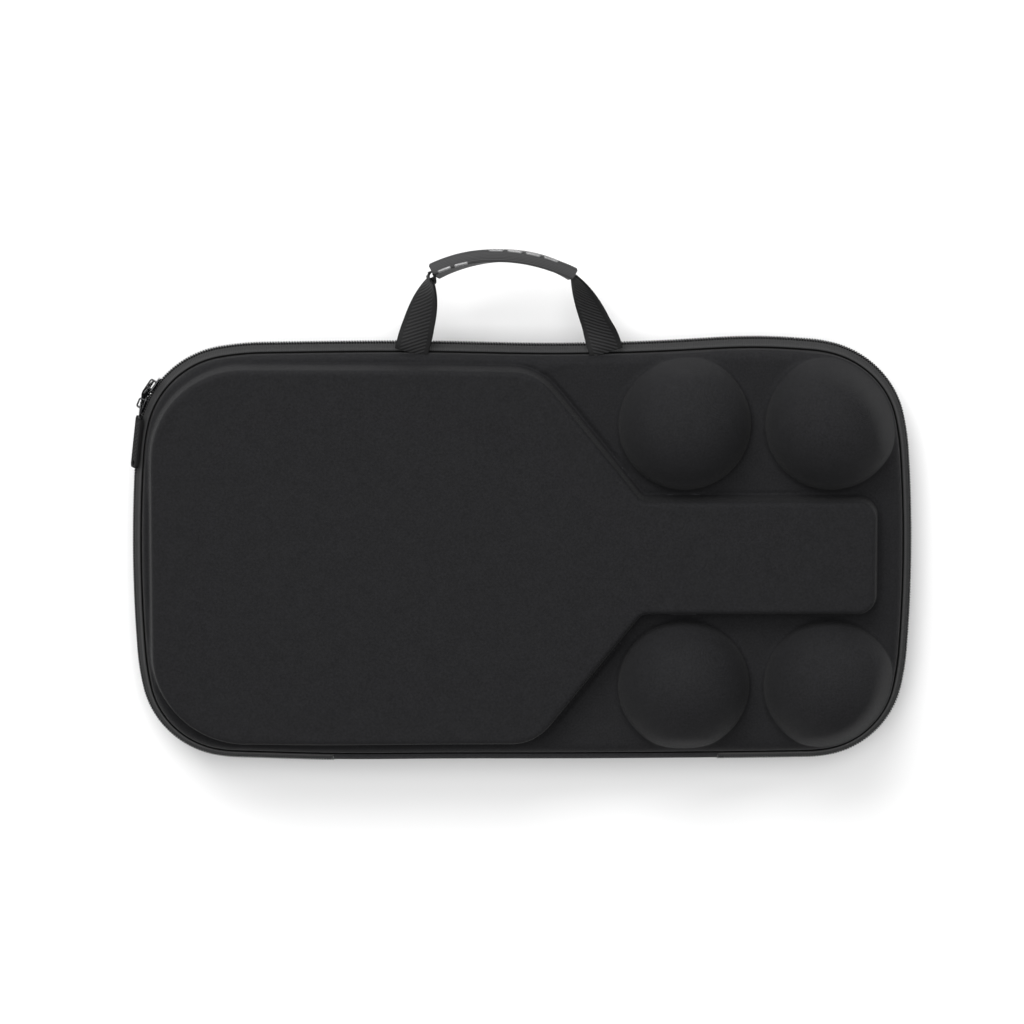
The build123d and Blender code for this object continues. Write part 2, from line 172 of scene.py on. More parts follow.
def quarter_arcs(corner_radii):
    """The arcs from (LENGTH / 2, 0) to (0, HEIGHT / 2): centre x and y, radius, start, sweep."""
    turns = [0.0]
    for sweep in ARC_SWEEPS:
        turns.append(turns[-1] + math.radians(sweep))
    across = [math.cos(a) - math.cos(b) for a, b in zip(turns, turns[1:])]
    up = [math.sin(b) - math.sin(a) for a, b in zip(turns, turns[1:])]
    free_x = LENGTH / 2 - sum(r * c for r, c in zip(corner_radii, across[1:-1]))
    free_y = HEIGHT / 2 - sum(r * c for r, c in zip(corner_radii, up[1:-1]))
    spread = across[0] * up[-1] - across[-1] * up[0]
    end_radius = (free_x * up[-1] - free_y * across[-1]) / spread
    side_radius = (free_y * across[0] - free_x * up[0]) / spread
    arcs = []
    x, y = LENGTH / 2, 0.0
    for radius, start, sweep in zip((end_radius, *corner_radii, side_radius), turns, ARC_SWEEPS):
        centre_x = x - radius * math.cos(start)
        centre_y = y - radius * math.sin(start)
        arcs.append((centre_x, centre_y, radius, math.degrees(start), sweep))
        x = centre_x + radius * math.cos(start + math.radians(sweep))
        y = centre_y + radius * math.sin(start + math.radians(sweep))
    return arcs


def left_side(arcs):
    """The same arcs mirrored to the -X side, in order."""
    return [(-x, y, r, 180 - start - sweep, sweep) for x, y, r, start, sweep in arcs[::-1]]


def ring_arcs():
    """All arcs of the outline in order, counter-clockwise from the +X end."""
    plain = quarter_arcs(CORNER_RADII)
    upper = plain + left_side(quarter_arcs(SLIDER_CORNER_RADII))
    lower = [(-x, -y, r, start + 180, sweep) for x, y, r, start, sweep in plain + left_side(plain)]
    return upper + lower


OUTLINE_ARCS = np.array(ring_arcs())
ARC_LENGTHS = OUTLINE_ARCS[:, 2] * np.radians(OUTLINE_ARCS[:, 4])
ARC_ENDS = np.concatenate([[0.0], np.cumsum(ARC_LENGTHS)])
PERIMETER = ARC_ENDS[-1]


def soften(x, y):
    """The slight waist and swells of the long sides, which the real cloth has."""
    for side, swells in ((1, UPPER_SWELLS), (-1, LOWER_SWELLS)):
        ramp = ease(np.clip((side * y - SOFTEN_START_Y) / (HEIGHT / 2 - SOFTEN_START_Y), 0, 1))
        for middle, length, reach in swells:
            y = y + side * reach * ramp * np.exp(-(((x - middle) / length) ** 2))
    return x, y


class Track:
    """Places along the case's outline, counter-clockwise, by the distance run from the +X end."""

    def __init__(self, run):
        run = np.asarray(run, float)
        wrapped = np.mod(run, PERIMETER)
        arc = np.clip(np.searchsorted(ARC_ENDS, wrapped, side="right") - 1, 0, len(ARC_LENGTHS) - 1)
        self.run = run
        self.centre = OUTLINE_ARCS[arc, :2]
        self.radius = OUTLINE_ARCS[arc, 2]
        angle = OUTLINE_ARCS[arc, 3] + np.degrees((wrapped - ARC_ENDS[arc]) / self.radius)
        angle = np.radians(angle)
        self.out = np.stack([np.cos(angle), np.sin(angle)], axis=1)

    def at(self, inset):
        """Points this far inside the outline, before the waist is put in."""
        return self.centre + (self.radius - inset)[:, None] * self.out

    def ahead(self):
        """Unit vectors in space along the outline."""
        return np.stack([-self.out[:, 1], self.out[:, 0], np.zeros(len(self.run))], axis=1)


def run_at(x, upper):
    """Distance run to the place where the outline has this x, on its upper or lower side."""
    quarter = PERIMETER / 4
    runs = np.linspace(quarter / 2, 3 * quarter / 2, 4000) + (0 if upper else 2 * quarter)
    xs = Track(runs).at(0.0)[:, 0]
    order = np.argsort(xs)
    return float(np.interp(x, xs[order], runs[order]))


def inset_of(x, y):
    """How far inside the outline each point lies; good near the outline, large further in."""
    best = np.full(x.shape, 1e3)
    for cx, cy, radius, start, sweep in OUTLINE_ARCS:
        dx, dy = x - cx, y - cy
        turn = np.mod(np.degrees(np.arctan2(dy, dx)) - start + 0.01, 360)
        inside = radius - np.hypot(dx, dy)
        best = np.where(turn <= sweep + 0.02, np.minimum(best, inside), best)
    return best


# ---------------------------------------------------------------- meshes


def finish_mesh(name, points, faces):
    """Mesh object in metres from points in millimetres and quads, turned to face outwards."""
    mesh = bpy.data.meshes.new(name)
    points = np.asarray(points, np.float64) * MM
    faces = np.asarray(faces, np.int32)
    a, b, c, d = (points[faces[:, k]] for k in range(4))
    volume = (a * np.cross(b, c)).sum() + (a * np.cross(c, d)).sum()
    if volume < 0:
        faces = faces[:, ::-1]
    mesh.vertices.add(len(points))
    mesh.vertices.foreach_set("co", points.astype(np.float32).ravel())
    sides = faces.shape[1]
    mesh.loops.add(faces.size)
    mesh.loops.foreach_set("vertex_index", faces.ravel())
    mesh.polygons.add(len(faces))
    mesh.polygons.foreach_set("loop_start", np.arange(len(faces), dtype=np.int32) * sides)
    mesh.polygons.foreach_set("use_smooth", np.full(len(faces), True))
    mesh.update(calc_edges=True)
    mesh.validate()
    thing = bpy.data.objects.new(name, mesh)
    bpy.context.scene.collection.objects.link(thing)
    return thing


def add_values(thing, name, values):
    """A number for every vertex, which a material reads as an attribute."""
    layer = thing.data.attributes.new(name, "FLOAT", "POINT")
    layer.data.foreach_set("value", np.asarray(values, np.float32))


def grid_faces(rows, columns, closed_rows=False, closed_columns=False):
    """Quads of a rows x columns grid of points, wrapped round where it is closed."""
    row = np.arange(rows if closed_rows else rows - 1)
    column = np.arange(columns if closed_columns else columns - 1)
    i, j = np.meshgrid(row, column, indexing="ij")
    next_i, next_j = (i + 1) % rows, (j + 1) % columns
    quads = [i * columns + j, next_i * columns + j, next_i * columns + next_j, i * columns + next_j]
    return np.stack(quads, axis=-1).reshape(-1, 4)


def swept(name, track, profile, closed_track):
    """A closed cross-section of (inset, z) corners carried along the outline."""
    profile = np.asarray(profile, float)
    insets, heights = profile[:, 0], profile[:, 1]
    flat = np.stack([track.at(inset) for inset in insets], axis=1)
    x, y = soften(flat[..., 0], flat[..., 1])
    points = np.stack([x, y, np.broadcast_to(heights, x.shape)], axis=-1)
    count = len(profile)
    if closed_track:
        faces = grid_faces(len(track.run), count, True, True)
    else:
        faces = capped_faces(len(track.run), count)
    thing = finish_mesh(name, points.reshape(-1, 3), faces)
    add_values(thing, "along", np.repeat(track.run, count))
    return thing


def end_cap(first, count, forward):
    """Quads that close a cross-section with an even number of corners."""
    caps = []
    for i in range(count // 2 - 1):
        quad = [first + i, first + i + 1, first + count - 2 - i, first + count - 1 - i]
        caps.append(quad if forward else quad[::-1])
    return np.array(caps)


def capped_faces(rows, columns):
    """Quads of a row of closed cross-sections, with both ends closed."""
    last = (rows - 1) * columns
    ends = [end_cap(0, columns, False), end_cap(last, columns, True)]
    return np.concatenate([grid_faces(rows, columns, False, True), *ends])


def rounded_strip(points, thickness):
    """Closed cross-section round a line of (inset, z) points, thickness to its inner side."""
    points = np.asarray(points, float)
    along = unit(np.gradient(points, axis=0))
    side = np.stack([-along[:, 1], along[:, 0]], axis=1)
    if side[:, 0].mean() < 0:
        side = -side
    return np.concatenate([points, (points + side * thickness)[::-1]])


def vertex_normals(points, faces):
    """Area-weighted normals of a quad mesh."""
    a, b, c, d = (points[faces[:, k]] for k in range(4))
    face_normal = np.cross(c - a, d - b)
    normals = np.zeros_like(points)
    for k in range(4):
        np.add.at(normals, faces[:, k], face_normal)
    return normals / np.maximum(np.linalg.norm(normals, axis=1), 1e-9)[:, None]


def join(things, name):
    """One object made of several."""
    with bpy.context.temp_override(
        active_object=things[0], selected_editable_objects=things, selected_objects=things
    ):
        bpy.ops.object.join()
    things[0].name = name
    things[0].data.name = name
    return things[0]


# ---------------------------------------------------------------- moulded front


def smooth_max(a, b, width):
    """The larger of two values, rounded over where they are nearly the same."""
    blend = np.clip(0.5 + 0.5 * (a - b) / width, 0, 1)
    return b + (a - b) * blend + width * blend * (1 - blend)


def smooth_min(a, b, width):
    """The smaller of two values, rounded over in the same way."""
    return -smooth_max(-a, -b, width)


def rounded_polygon(corners, radii):
    """Lines and arcs of a counter-clockwise polygon with rounded corners."""
    corners = [np.array(c, float) for c in corners]
    count = len(corners)
    lines, arcs = [], []
    starts, ends = [], []
    for i in range(count):
        before, here, after = corners[i - 1], corners[i], corners[(i + 1) % count]
        into = (here - before) / np.linalg.norm(here - before)
        away = (after - here) / np.linalg.norm(after - here)
        turn = math.atan2(into[0] * away[1] - into[1] * away[0], float(into @ away))
        reach = radii[i] * math.tan(abs(turn) / 2)
        side = math.copysign(1.0, turn)
        start, end = here - into * reach, here + away * reach
        centre = start + np.array([-into[1], into[0]]) * radii[i] * side
        arcs.append((centre, radii[i], side, here))
        starts.append(start)
        ends.append(end)
    for i in range(count):
        lines.append((ends[i - 1], starts[i]))
    return lines, arcs


def depth_inside(x, y, corners, radii):
    """Signed distance to a rounded polygon, positive inside."""
    lines, arcs = rounded_polygon(corners, radii)
    best = np.full(x.shape, 1e6)
    signed = np.zeros(x.shape)
    for start, end in lines:
        along = end - start
        length = np.linalg.norm(along)
        along = along / length
        dx, dy = x - start[0], y - start[1]
        t = np.clip(dx * along[0] + dy * along[1], 0, length)
        away = np.hypot(dx - t * along[0], dy - t * along[1])
        side = dy * along[0] - dx * along[1]
        nearer = away < best
        signed = np.where(nearer, np.copysign(away, side), signed)
        best = np.minimum(best, away)
    for centre, radius, side, tip in arcs:
        dx, dy = x - centre[0], y - centre[1]
        out = (tip - centre) / np.linalg.norm(tip - centre)
        reach = np.hypot(dx, dy)
        half_turn = math.acos(min(1.0, radius / np.linalg.norm(tip - centre)))
        within = dx * out[0] + dy * out[1] > reach * math.cos(half_turn)
        away = np.where(within, np.abs(reach - radius), 1e6)
        nearer = away < best
        signed = np.where(nearer, side * (radius - reach), signed)
        best = np.minimum(best, away)
    return signed


def wall_profile(depth, edge_radius):
    """Height above the rim of the paddle mould, from the distance inside its foot line."""
    rise = PLATEAU_Z - RIM_Z
    slope = math.pi / 2 - MOULD_TAPER
    foot = FOOT_FILLET * math.tan(slope / 2)
    top = edge_radius * math.tan(slope / 2)
    edge = rise * math.tan(MOULD_TAPER)
    height = np.clip(depth / math.tan(MOULD_TAPER), 0, rise)
    along = np.clip(depth + foot, 0, FOOT_FILLET)
    fillet = FOOT_FILLET - np.sqrt(FOOT_FILLET**2 - along**2)
    height = np.where(depth < foot * math.sin(MOULD_TAPER), fillet, height)
    back = np.clip(depth - edge - top, -edge_radius, 0)
    rounding = rise - edge_radius + np.sqrt(edge_radius**2 - back**2)
    height = np.where(depth > edge - top * math.sin(MOULD_TAPER), rounding, height)
    return np.where(depth < -foot, 0.0, height)


def dome_profile(reach):
    """Height above the rim of one ball mould, from the distance to its centre line."""
    sink = RIM_Z - DOME_Z
    outer = DOME_RADIUS + DOME_FILLET
    fillet_reach = math.sqrt(outer**2 - (sink + DOME_FILLET) ** 2)
    touch = fillet_reach * DOME_RADIUS / outer
    ball = np.sqrt(np.maximum(DOME_RADIUS**2 - reach**2, 0)) - sink
    short = np.clip(fillet_reach - reach, 0, DOME_FILLET)
    fillet = DOME_FILLET - np.sqrt(DOME_FILLET**2 - short**2)
    return np.where(reach < touch, ball, fillet)


LOWER_CORNERS = [
    (BLADE_END_X, -BLADE_HALF),
    (SHOULDER_X, -BLADE_HALF),
    (NECK_X, -GRIP_MOULD_HALF),
    (GRIP_MOULD_END_X, -GRIP_MOULD_HALF),
]
PADDLE_CORNERS = LOWER_CORNERS + [(x, -y) for x, y in LOWER_CORNERS[::-1]]
CORNER_ROUNDS = [BLADE_CORNER_RADIUS, SHOULDER_RADIUS, NECK_RADIUS, GRIP_MOULD_CORNER]
PADDLE_RADII = CORNER_ROUNDS + CORNER_ROUNDS[::-1]


def rim_profile(inset):
    """Height against the rim of the cloth that curves up from the seam."""
    share = np.clip((inset - SHELL_EDGE_INSET) / RIM_CROWN_WIDTH, 0, 1)
    return -RIM_RISE * (1 - share) ** 3


def folds(x, y):
    """Small soft creases where the cloth is pulled round the blade's upper shoulder."""
    total = np.zeros(x.shape)
    for fold_x, fold_y, angle, length, width, height in FOLDS:
        turn = math.radians(angle)
        along = (x - fold_x) * math.cos(turn) + (y - fold_y) * math.sin(turn)
        across = (y - fold_y) * math.cos(turn) - (x - fold_x) * math.sin(turn)
        total += height * np.exp(-((along / length) ** 2) - (across / width) ** 2)
    return total


# Creases: middle x and y, direction, half length, half width, height
FOLDS = (
    (10.0, 110.0, 35.0, 9.0, 2.2, 0.55),
    (0.0, 108.0, 20.0, 9.0, 2.6, -0.35),
    (22.0, 113.0, 20.0, 12.0, 2.0, 0.35),
    (6.0, -110.0, -30.0, 9.0, 2.4, 0.35),
)


def front_height(x, y, edge_radius):
    """Height of the front shell's outer surface."""
    inset = inset_of(x, y)
    rim = rim_profile(inset)
    depth = depth_inside(x, y, PADDLE_CORNERS, PADDLE_RADII)
    features = wall_profile(depth, edge_radius)
    groove = FOOT_GROOVE * np.exp(-(((depth + FOOT_GROOVE_WIDTH) / FOOT_GROOVE_WIDTH) ** 2))
    crease = np.clip(np.minimum(x - CREASE_RUN[0], CREASE_RUN[1] - x) / CREASE_FADE, 0, 1) * CREASE
    groove = groove + crease * np.exp(-(((depth + CREASE) / CREASE) ** 2))
    limit = np.maximum((inset - SEAM_INSET - DOME_LIMIT_STEP) * DOME_LIMIT_SLOPE - RIM_RISE - rim, 0)
    for dome_x, dome_y in DOMES:
        dome = dome_profile(np.hypot(x - dome_x, y - dome_y))
        dome = np.maximum(smooth_min(dome, limit, FLANK_BLEND), 0)
        both = np.minimum(np.minimum(features, dome) / VALLEY_BLEND, 1)
        blended = smooth_max(features, dome, VALLEY_BLEND)
        plain = np.maximum(features, dome)
        features = plain + (blended - plain) * np.clip(both, 0, 1)
    return RIM_Z + rim + features - groove + folds(x, y)


def gathered(x, y):
    """The same points drawn in towards the steep walls, so that these get enough of them."""
    calm = np.clip((inset_of(x, y) - SEAM_INSET) / EDGE_CALM, 0, 1)
    for middle, half, distance in wall_distances():
        depth = distance(x, y)
        ahead = distance(x + 0.01, y) - depth
        above = distance(x, y + 0.01) - depth
        steep = np.maximum(np.hypot(ahead, above), 1e-6)
        place = np.clip((depth - middle) / half, -1, 1)
        move = -GATHER * half / math.pi * np.sin(math.pi * place) * calm
        x, y = x + ahead / steep * move, y + above / steep * move
    return x, y


def wall_distances():
    """Middle, half width and distance function of each steep wall's stretch."""
    walls = [(*PADDLE_STRETCH, lambda x, y: depth_inside(x, y, PADDLE_CORNERS, PADDLE_RADII))]
    for centre in DOMES:
        walls.append((*DOME_STRETCH, lambda x, y, c=centre: DOME_RADIUS - np.hypot(x - c[0], y - c[1])))
    return walls


def side_runs():
    """Distance run to the middle of the four corner arcs, starting at the lower right one."""
    middles = []
    for index in (17, 2, 7, 12):
        middles.append(ARC_ENDS[index] + ARC_LENGTHS[index] / 2)
    middles[0] -= PERIMETER
    return middles + [middles[0] + PERIMETER]


class Plate:
    """Points and quads that fill the outline: rings along its edge, then a patch in the middle."""

    def __init__(self, insets, step):
        middles = side_runs()
        end_count = int((middles[1] - middles[0]) / step)
        long_count = int((middles[2] - middles[1]) / step)
        counts = [end_count, long_count, end_count, long_count]
        runs = []
        for start, stop, count in zip(middles, middles[1:], counts):
            runs.append(np.linspace(start, stop, count, endpoint=False))
        self.track = Track(np.concatenate(runs))
        around = len(self.track.run)
        rings = [self.track.at(inset) for inset in insets]
        last = rings[-1]
        columns, rows = long_count, end_count
        right = last[: rows + 1]
        top = last[rows : rows + columns + 1][::-1]
        left = last[rows + columns : 2 * rows + columns + 1][::-1]
        bottom = np.concatenate([last[2 * rows + columns :], last[:1]])
        u = np.linspace(0, 1, columns + 1)[None, :, None]
        v = np.linspace(0, 1, rows + 1)[:, None, None]
        patch = (1 - v) * bottom[None] + v * top[None] + (1 - u) * left[:, None] + u * right[:, None]
        patch -= (1 - u) * (1 - v) * bottom[0] + u * (1 - v) * bottom[-1]
        patch -= (1 - u) * v * top[0] + u * v * top[-1]
        inner = patch[1:-1, 1:-1].reshape(-1, 2)
        self.flat = np.concatenate([np.concatenate(rings), inner])
        first_last = (len(insets) - 1) * around
        first_inner = len(insets) * around
        index = np.empty((rows + 1, columns + 1), int)
        index[1:-1, 1:-1] = first_inner + np.arange((rows - 1) * (columns - 1)).reshape(rows - 1, -1)
        index[:, -1] = first_last + np.arange(rows + 1)
        index[-1, ::-1] = first_last + rows + np.arange(columns + 1)
        index[::-1, 0] = first_last + rows + columns + np.arange(rows + 1)
        index[0, :] = first_last + np.mod(2 * rows + columns + np.arange(columns + 1), around)
        quads = [index[:-1, :-1], index[:-1, 1:], index[1:, 1:], index[1:, :-1]]
        patch_faces = np.stack(quads, axis=-1).reshape(-1, 4)
        ring_faces = grid_faces(len(insets), around, False, True)[:, ::-1]
        self.faces = np.concatenate([ring_faces, patch_faces])
        self.around = around


def between(name, plate, outer, inner):
    """Closed solid between two surfaces over the same plate."""
    count = len(outer)
    edge = np.arange(plate.around)
    after = np.roll(edge, -1)
    rim = np.stack([edge, edge + count, after + count, after], axis=1)
    faces = np.concatenate([plate.faces, plate.faces[:, ::-1] + count, rim])
    return finish_mesh(name, np.concatenate([outer, inner]), faces)


def warped(flat, height):
    """Points in space, with the long sides' swells put in."""
    x, y = soften(flat[:, 0], flat[:, 1])
    return np.stack([x, y, height], axis=1)


def dome_share(x, y):
    """1 on the ball moulds, where the sheet is stretched thin, and 0 elsewhere."""
    share = np.zeros(x.shape)
    for dome_x, dome_y in DOMES:
        reach = np.hypot(x - dome_x, y - dome_y)
        share = np.maximum(share, np.clip((DOME_RADIUS + THIN_MARGIN - reach) / THIN_FADE, 0, 1))
    return ease(share)


def moulded_layer(plate, x, y, depth, edge_radius):
    """The front shell's surface, or the one this far under it."""
    surface = np.stack([x, y, front_height(x, y, edge_radius)], axis=1)
    normals = vertex_normals(surface, plate.faces)
    edge = slice(0, plate.around)
    normals[edge, 2] = 0
    normals[edge] = unit(normals[edge])
    if depth:
        normals = unit(even_out(normals, plate.faces, LINING_ROUNDS))
        reach = depth - dome_share(x, y) * (SHELL_WALL - DOME_WALL)
        moved_in = surface - normals * reach[:, None]
        surface = even_out(moved_in, plate.faces, LINING_ROUNDS)
        surface[edge, :2] = moved_in[edge, :2]
        roof = lowest_near(surface[:, 0], surface[:, 1])
        surface[:, 2] = np.minimum(surface[:, 2], roof - depth * ROOF_SHARE)
        calmed = even_out(surface, plate.faces, LINING_ROUNDS)
        surface[plate.around :] = calmed[plate.around :]
        roof = front_height(surface[:, 0], surface[:, 1], CLOTH_EDGE_RADIUS)
        surface[:, 2] = np.minimum(surface[:, 2], roof - depth * ROOF_SHARE / 2)
    surface[:, 2] = np.maximum(surface[:, 2], FRONT_SEAM_Z)
    return warped(surface[:, :2], surface[:, 2])


def lowest_near(x, y):
    """The shell's lowest height within a small reach."""
    heights = [front_height(x, y, CLOTH_EDGE_RADIUS)]
    for step_x, step_y in ((1, 0), (-1, 0), (0, 1), (0, -1)):
        heights.append(front_height(x + step_x * ROOF_REACH, y + step_y * ROOF_REACH, CLOTH_EDGE_RADIUS))
    return np.min(heights, axis=0)


def even_out(values, faces, rounds):
    """Values of each vertex averaged with those of its faces, some rounds."""
    share = np.bincount(faces.ravel(), minlength=len(values))[:, None]
    for _ in range(rounds):
        middle = values[faces].mean(axis=1)
        total = np.zeros_like(values)
        for k in range(4):
            for axis in range(values.shape[1]):
                total[:, axis] += np.bincount(faces[:, k], middle[:, axis], len(values))
        values = total / share
    return values


def moulded_pair(name, step, outer_depth, inner_depth):
    """Solid between two depths under the front shell's surface."""
    plate = Plate(np.arange(SHELL_EDGE_INSET, RING_DEPTH + step / 2, step), step)
    x, y = gathered(plate.flat[:, 0], plate.flat[:, 1])
    layers = []
    for depth in (outer_depth, inner_depth):
        radius = INNER_EDGE_RADIUS if depth else CLOTH_EDGE_RADIUS
        layers.append(moulded_layer(plate, x, y, depth, radius))
    return between(name, plate, *layers)


def back_profile(depth):
    """(inset, z) points of the back shell's wall from its seam to its flat back, depth inside."""
    radius = BACK_EDGE_RADIUS
    lean = math.atan((BACK_FOOT_INSET - SEAM_INSET) / BACK_SEAM_Z)
    turn = math.pi / 2 - lean
    reach = radius * math.tan(turn / 2)
    centre = (BACK_FOOT_INSET + reach, radius)
    points = []
    top = np.array([SEAM_INSET, BACK_SEAM_Z])
    tangent = np.array([BACK_FOOT_INSET - reach * math.sin(lean), reach * math.cos(lean)])
    for t in np.linspace(0, 1, 14)[:-1]:
        points.append(top + (tangent - top) * t + np.array([depth, 0]))
    for t in np.linspace(0, 1, 26):
        angle = math.pi + lean + turn * t
        out = np.array([math.cos(angle), math.sin(angle)])
        points.append(np.array(centre) + (radius - depth) * out)
    return np.array(points)


def back_pair(name, step, outer_depth, inner_depth):
    """Solid between two depths under the back shell's surface."""
    layers = []
    for depth in (outer_depth, inner_depth):
        wall = back_profile(depth)
        floor = np.linspace(wall[-1, 0], RING_DEPTH, FLOOR_RINGS + 1)[1:]
        insets = np.concatenate([wall[:, 0], floor])
        heights = np.concatenate([wall[:, 1], np.full(len(floor), wall[-1, 1])])
        plate = Plate(insets, step)
        rise = np.full(len(plate.flat), wall[-1, 1])
        rise[: len(insets) * plate.around] = np.repeat(heights, plate.around)
        layers.append(warped(plate.flat, rise))
    return between(name, plate, *layers)


moulded_pair("front_shell_cloth", SHELL_STEP, 0.0, SHELL_WALL - LINING_GAP)
moulded_pair("front_lining_cloth", FRONT_LINING_STEP, SHELL_WALL, SHELL_WALL + LINING)
back_pair("back_shell_cloth", LINING_STEP, 0.0, SHELL_WALL)
back_pair("back_lining_cloth", LINING_STEP, SHELL_WALL, SHELL_WALL + LINING)


# ---------------------------------------------------------------- band round the rim

TAPE = 0.9
SEWN_INSET = 8.8
# The upper tape from its sewn edge, out over the seam and in to the coil: inset, z
TAPE_COVE = (
    (SEWN_INSET, 39.5),
    (6.4, 39.4),
    (5.6, 38.3),
    (5.1, 38.0),
    (4.5, 38.5),
    (4.15, 37.8),
    (3.6, 36.2),
    (2.8, 34.7),
    (1.8, 33.6),
    (1.3, 33.0),
)
SEAM_CORD = 0.42
SEAM_CORD_PLACE = (5.25, 38.6)
SPINE = 1.2
SPINE_BULGE = 5.0
SPINE_SQUARE = 0.5  # shares of a flat-topped and of a round bulge
SPINE_ROUND = 0.4
SPINE_PROUD = 0.2
SPINE_MARGIN = 1.6
SPINE_FLANGE = ((SEWN_INSET, 0.6), (SEAM_INSET + 1.2, 0.7))  # inset, height over the back seam
STOP_LENGTH = 3.0
COIL_PITCH = 1.6
COIL_TURN_STEPS = 10
COIL_WIRE = 0.42
COIL_MIDDLE = (1.15, 1.55)
COIL_HALF_SIZE = (0.95, 1.05)
CORE_HALF_SIZE = (0.5, 0.8)
BINDING_SECTION = ((7.0, 37.7), (7.9, 37.3), (9.0, 37.3), (9.9, 37.6), (10.0, 38.6), (10.0, 39.9))
BINDING = 0.9
BINDING_STITCH_INSET = 8.6
BINDING_STITCH_Z = 37.15
BINDING_STITCH_PITCH = 4.0
BINDING_STITCH_SHARE = 0.7
BINDING_THREAD = 0.28
BAND_STEP = 1.5


def on_half(points, upper):
    """The same (inset, z) points, on the other side of the parting plane for the lower half."""
    points = np.array(points, float)
    if not upper:
        points[:, 1] = 2 * PARTING_Z - points[:, 1]
    return points


def ring_track():
    """The whole outline in even steps."""
    return Track(np.linspace(0, PERIMETER, int(PERIMETER / BAND_STEP), endpoint=False))


def smooth_line(points, count):
    """Points evenly spread along a soft curve through the given ones."""
    points = np.asarray(points, float)
    steps = np.linalg.norm(np.diff(points, axis=0), axis=1)
    place = np.concatenate([[0], np.cumsum(steps)])
    wanted = np.linspace(0, place[-1], count)
    slopes = np.gradient(points, place, axis=0)
    index = np.clip(np.searchsorted(place, wanted, side="right") - 1, 0, len(place) - 2)
    span = place[index + 1] - place[index]
    t = ((wanted - place[index]) / span)[:, None]
    span = span[:, None]
    line = points[index] * (2 * t**3 - 3 * t**2 + 1) + slopes[index] * span * (t**3 - 2 * t**2 + t)
    return line + points[index + 1] * (3 * t**2 - 2 * t**3) + slopes[index + 1] * span * (t**3 - t**2)


def open_track(shorten):
    """The outline without the spine's stretch and this much more at each end."""
    start = run_at(SPINE_END_X + shorten, False) - PERIMETER
    end = run_at(SPINE_START_X - shorten, False)
    return Track(np.linspace(start, end, int((end - start) / BAND_STEP)))


def zip_tape(name, upper):
    """One half's zipper tape."""
    line = on_half(smooth_line(TAPE_COVE, 26), upper)
    return swept(name, open_track(SPINE_GAP), rounded_strip(line, TAPE), False)


def tube(name, path, across, radius, sides):
    """Round wire along a path of points; across is never parallel to it."""
    path = np.asarray(path, float)
    ahead = unit(np.gradient(path, axis=0))
    first = unit(np.cross(ahead, np.broadcast_to(np.asarray(across, float), path.shape)))
    second = np.cross(ahead, first)
    turn = full_turn(sides)
    radius = np.broadcast_to(np.asarray(radius, float), len(path))[:, None, None]
    ring = first[:, None] * np.cos(turn)[None, :, None] + second[:, None] * np.sin(turn)[None, :, None]
    points = (path[:, None] + ring * radius).reshape(-1, 3)
    return finish_mesh(name, points, capped_faces(len(path), sides))


def lifted(track, inset, z):
    """Points in space at these insets and heights along a track."""
    flat = track.at(inset)
    x, y = soften(flat[:, 0], flat[:, 1])
    return np.stack([x, y, np.broadcast_to(z, x.shape)], axis=1)


def zip_coil(name, upper):
    """Nylon coil round its filler cord, sewn along the tape's edge."""
    track = open_track(SPINE_GAP if upper else SPINE_GAP + STOP_LENGTH)
    start, end = track.run[0], track.run[-1]
    turns = int((end - start) / COIL_PITCH)
    fine = Track(np.linspace(start, end, turns * COIL_TURN_STEPS + 1))
    phase = np.linspace(0, 2 * math.pi * turns, len(fine.run))
    side = 1 if upper else -1
    inset = COIL_MIDDLE[0] - COIL_HALF_SIZE[0] * np.cos(phase)
    height = PARTING_Z + side * (COIL_MIDDLE[1] + COIL_HALF_SIZE[1] * np.sin(phase))
    tube(name, lifted(fine, inset, height), fine.ahead(), COIL_WIRE, 6)
    turn = full_turn(12)
    core_inset = COIL_MIDDLE[0] + CORE_HALF_SIZE[0] * np.cos(turn)
    core_height = PARTING_Z + side * (COIL_MIDDLE[1] + CORE_HALF_SIZE[1] * np.sin(turn))
    swept(name + "_cord", track, np.stack([core_inset, core_height], axis=1), False)


def seam_cord(name, upper):
    """Dark cord in the groove between a shell and its tape: the seam's dark thread, and painted shade of
    the groove.
    """
    turn = full_turn(10)
    section = np.array(SEAM_CORD_PLACE) + SEAM_CORD * np.stack([np.cos(turn), np.sin(turn)], axis=1)
    return swept(name, ring_track(), on_half(section, upper), True)


def spine():
    """One cloth over the hinge side, from seam to seam."""
    start = run_at(SPINE_START_X, False)
    end = run_at(SPINE_END_X, False)
    track = Track(np.linspace(start, end, int((end - start) / BAND_STEP)))
    share = np.linspace(-1, 1, 30)
    bulge = SPINE_BULGE * (SPINE_SQUARE * (1 - share**4) + SPINE_ROUND * (1 - share**2))
    inset = SEAM_INSET - SPINE_PROUD - bulge
    line = np.stack([inset, PARTING_Z + share * (BAND_HALF - SPINE_MARGIN)], axis=1)
    flange = [(place, BACK_SEAM_Z + rise) for place, rise in SPINE_FLANGE]
    line = np.concatenate([flange, line, on_half(flange, False)[::-1]])
    return swept("spine_cloth", track, rounded_strip(line, SPINE), False)


def binding(name, upper):
    """Tape folded over the sewn edges inside a half."""
    line = on_half(smooth_line(BINDING_SECTION, 18), upper)
    return swept(name, ring_track(), rounded_strip(line, BINDING), True)


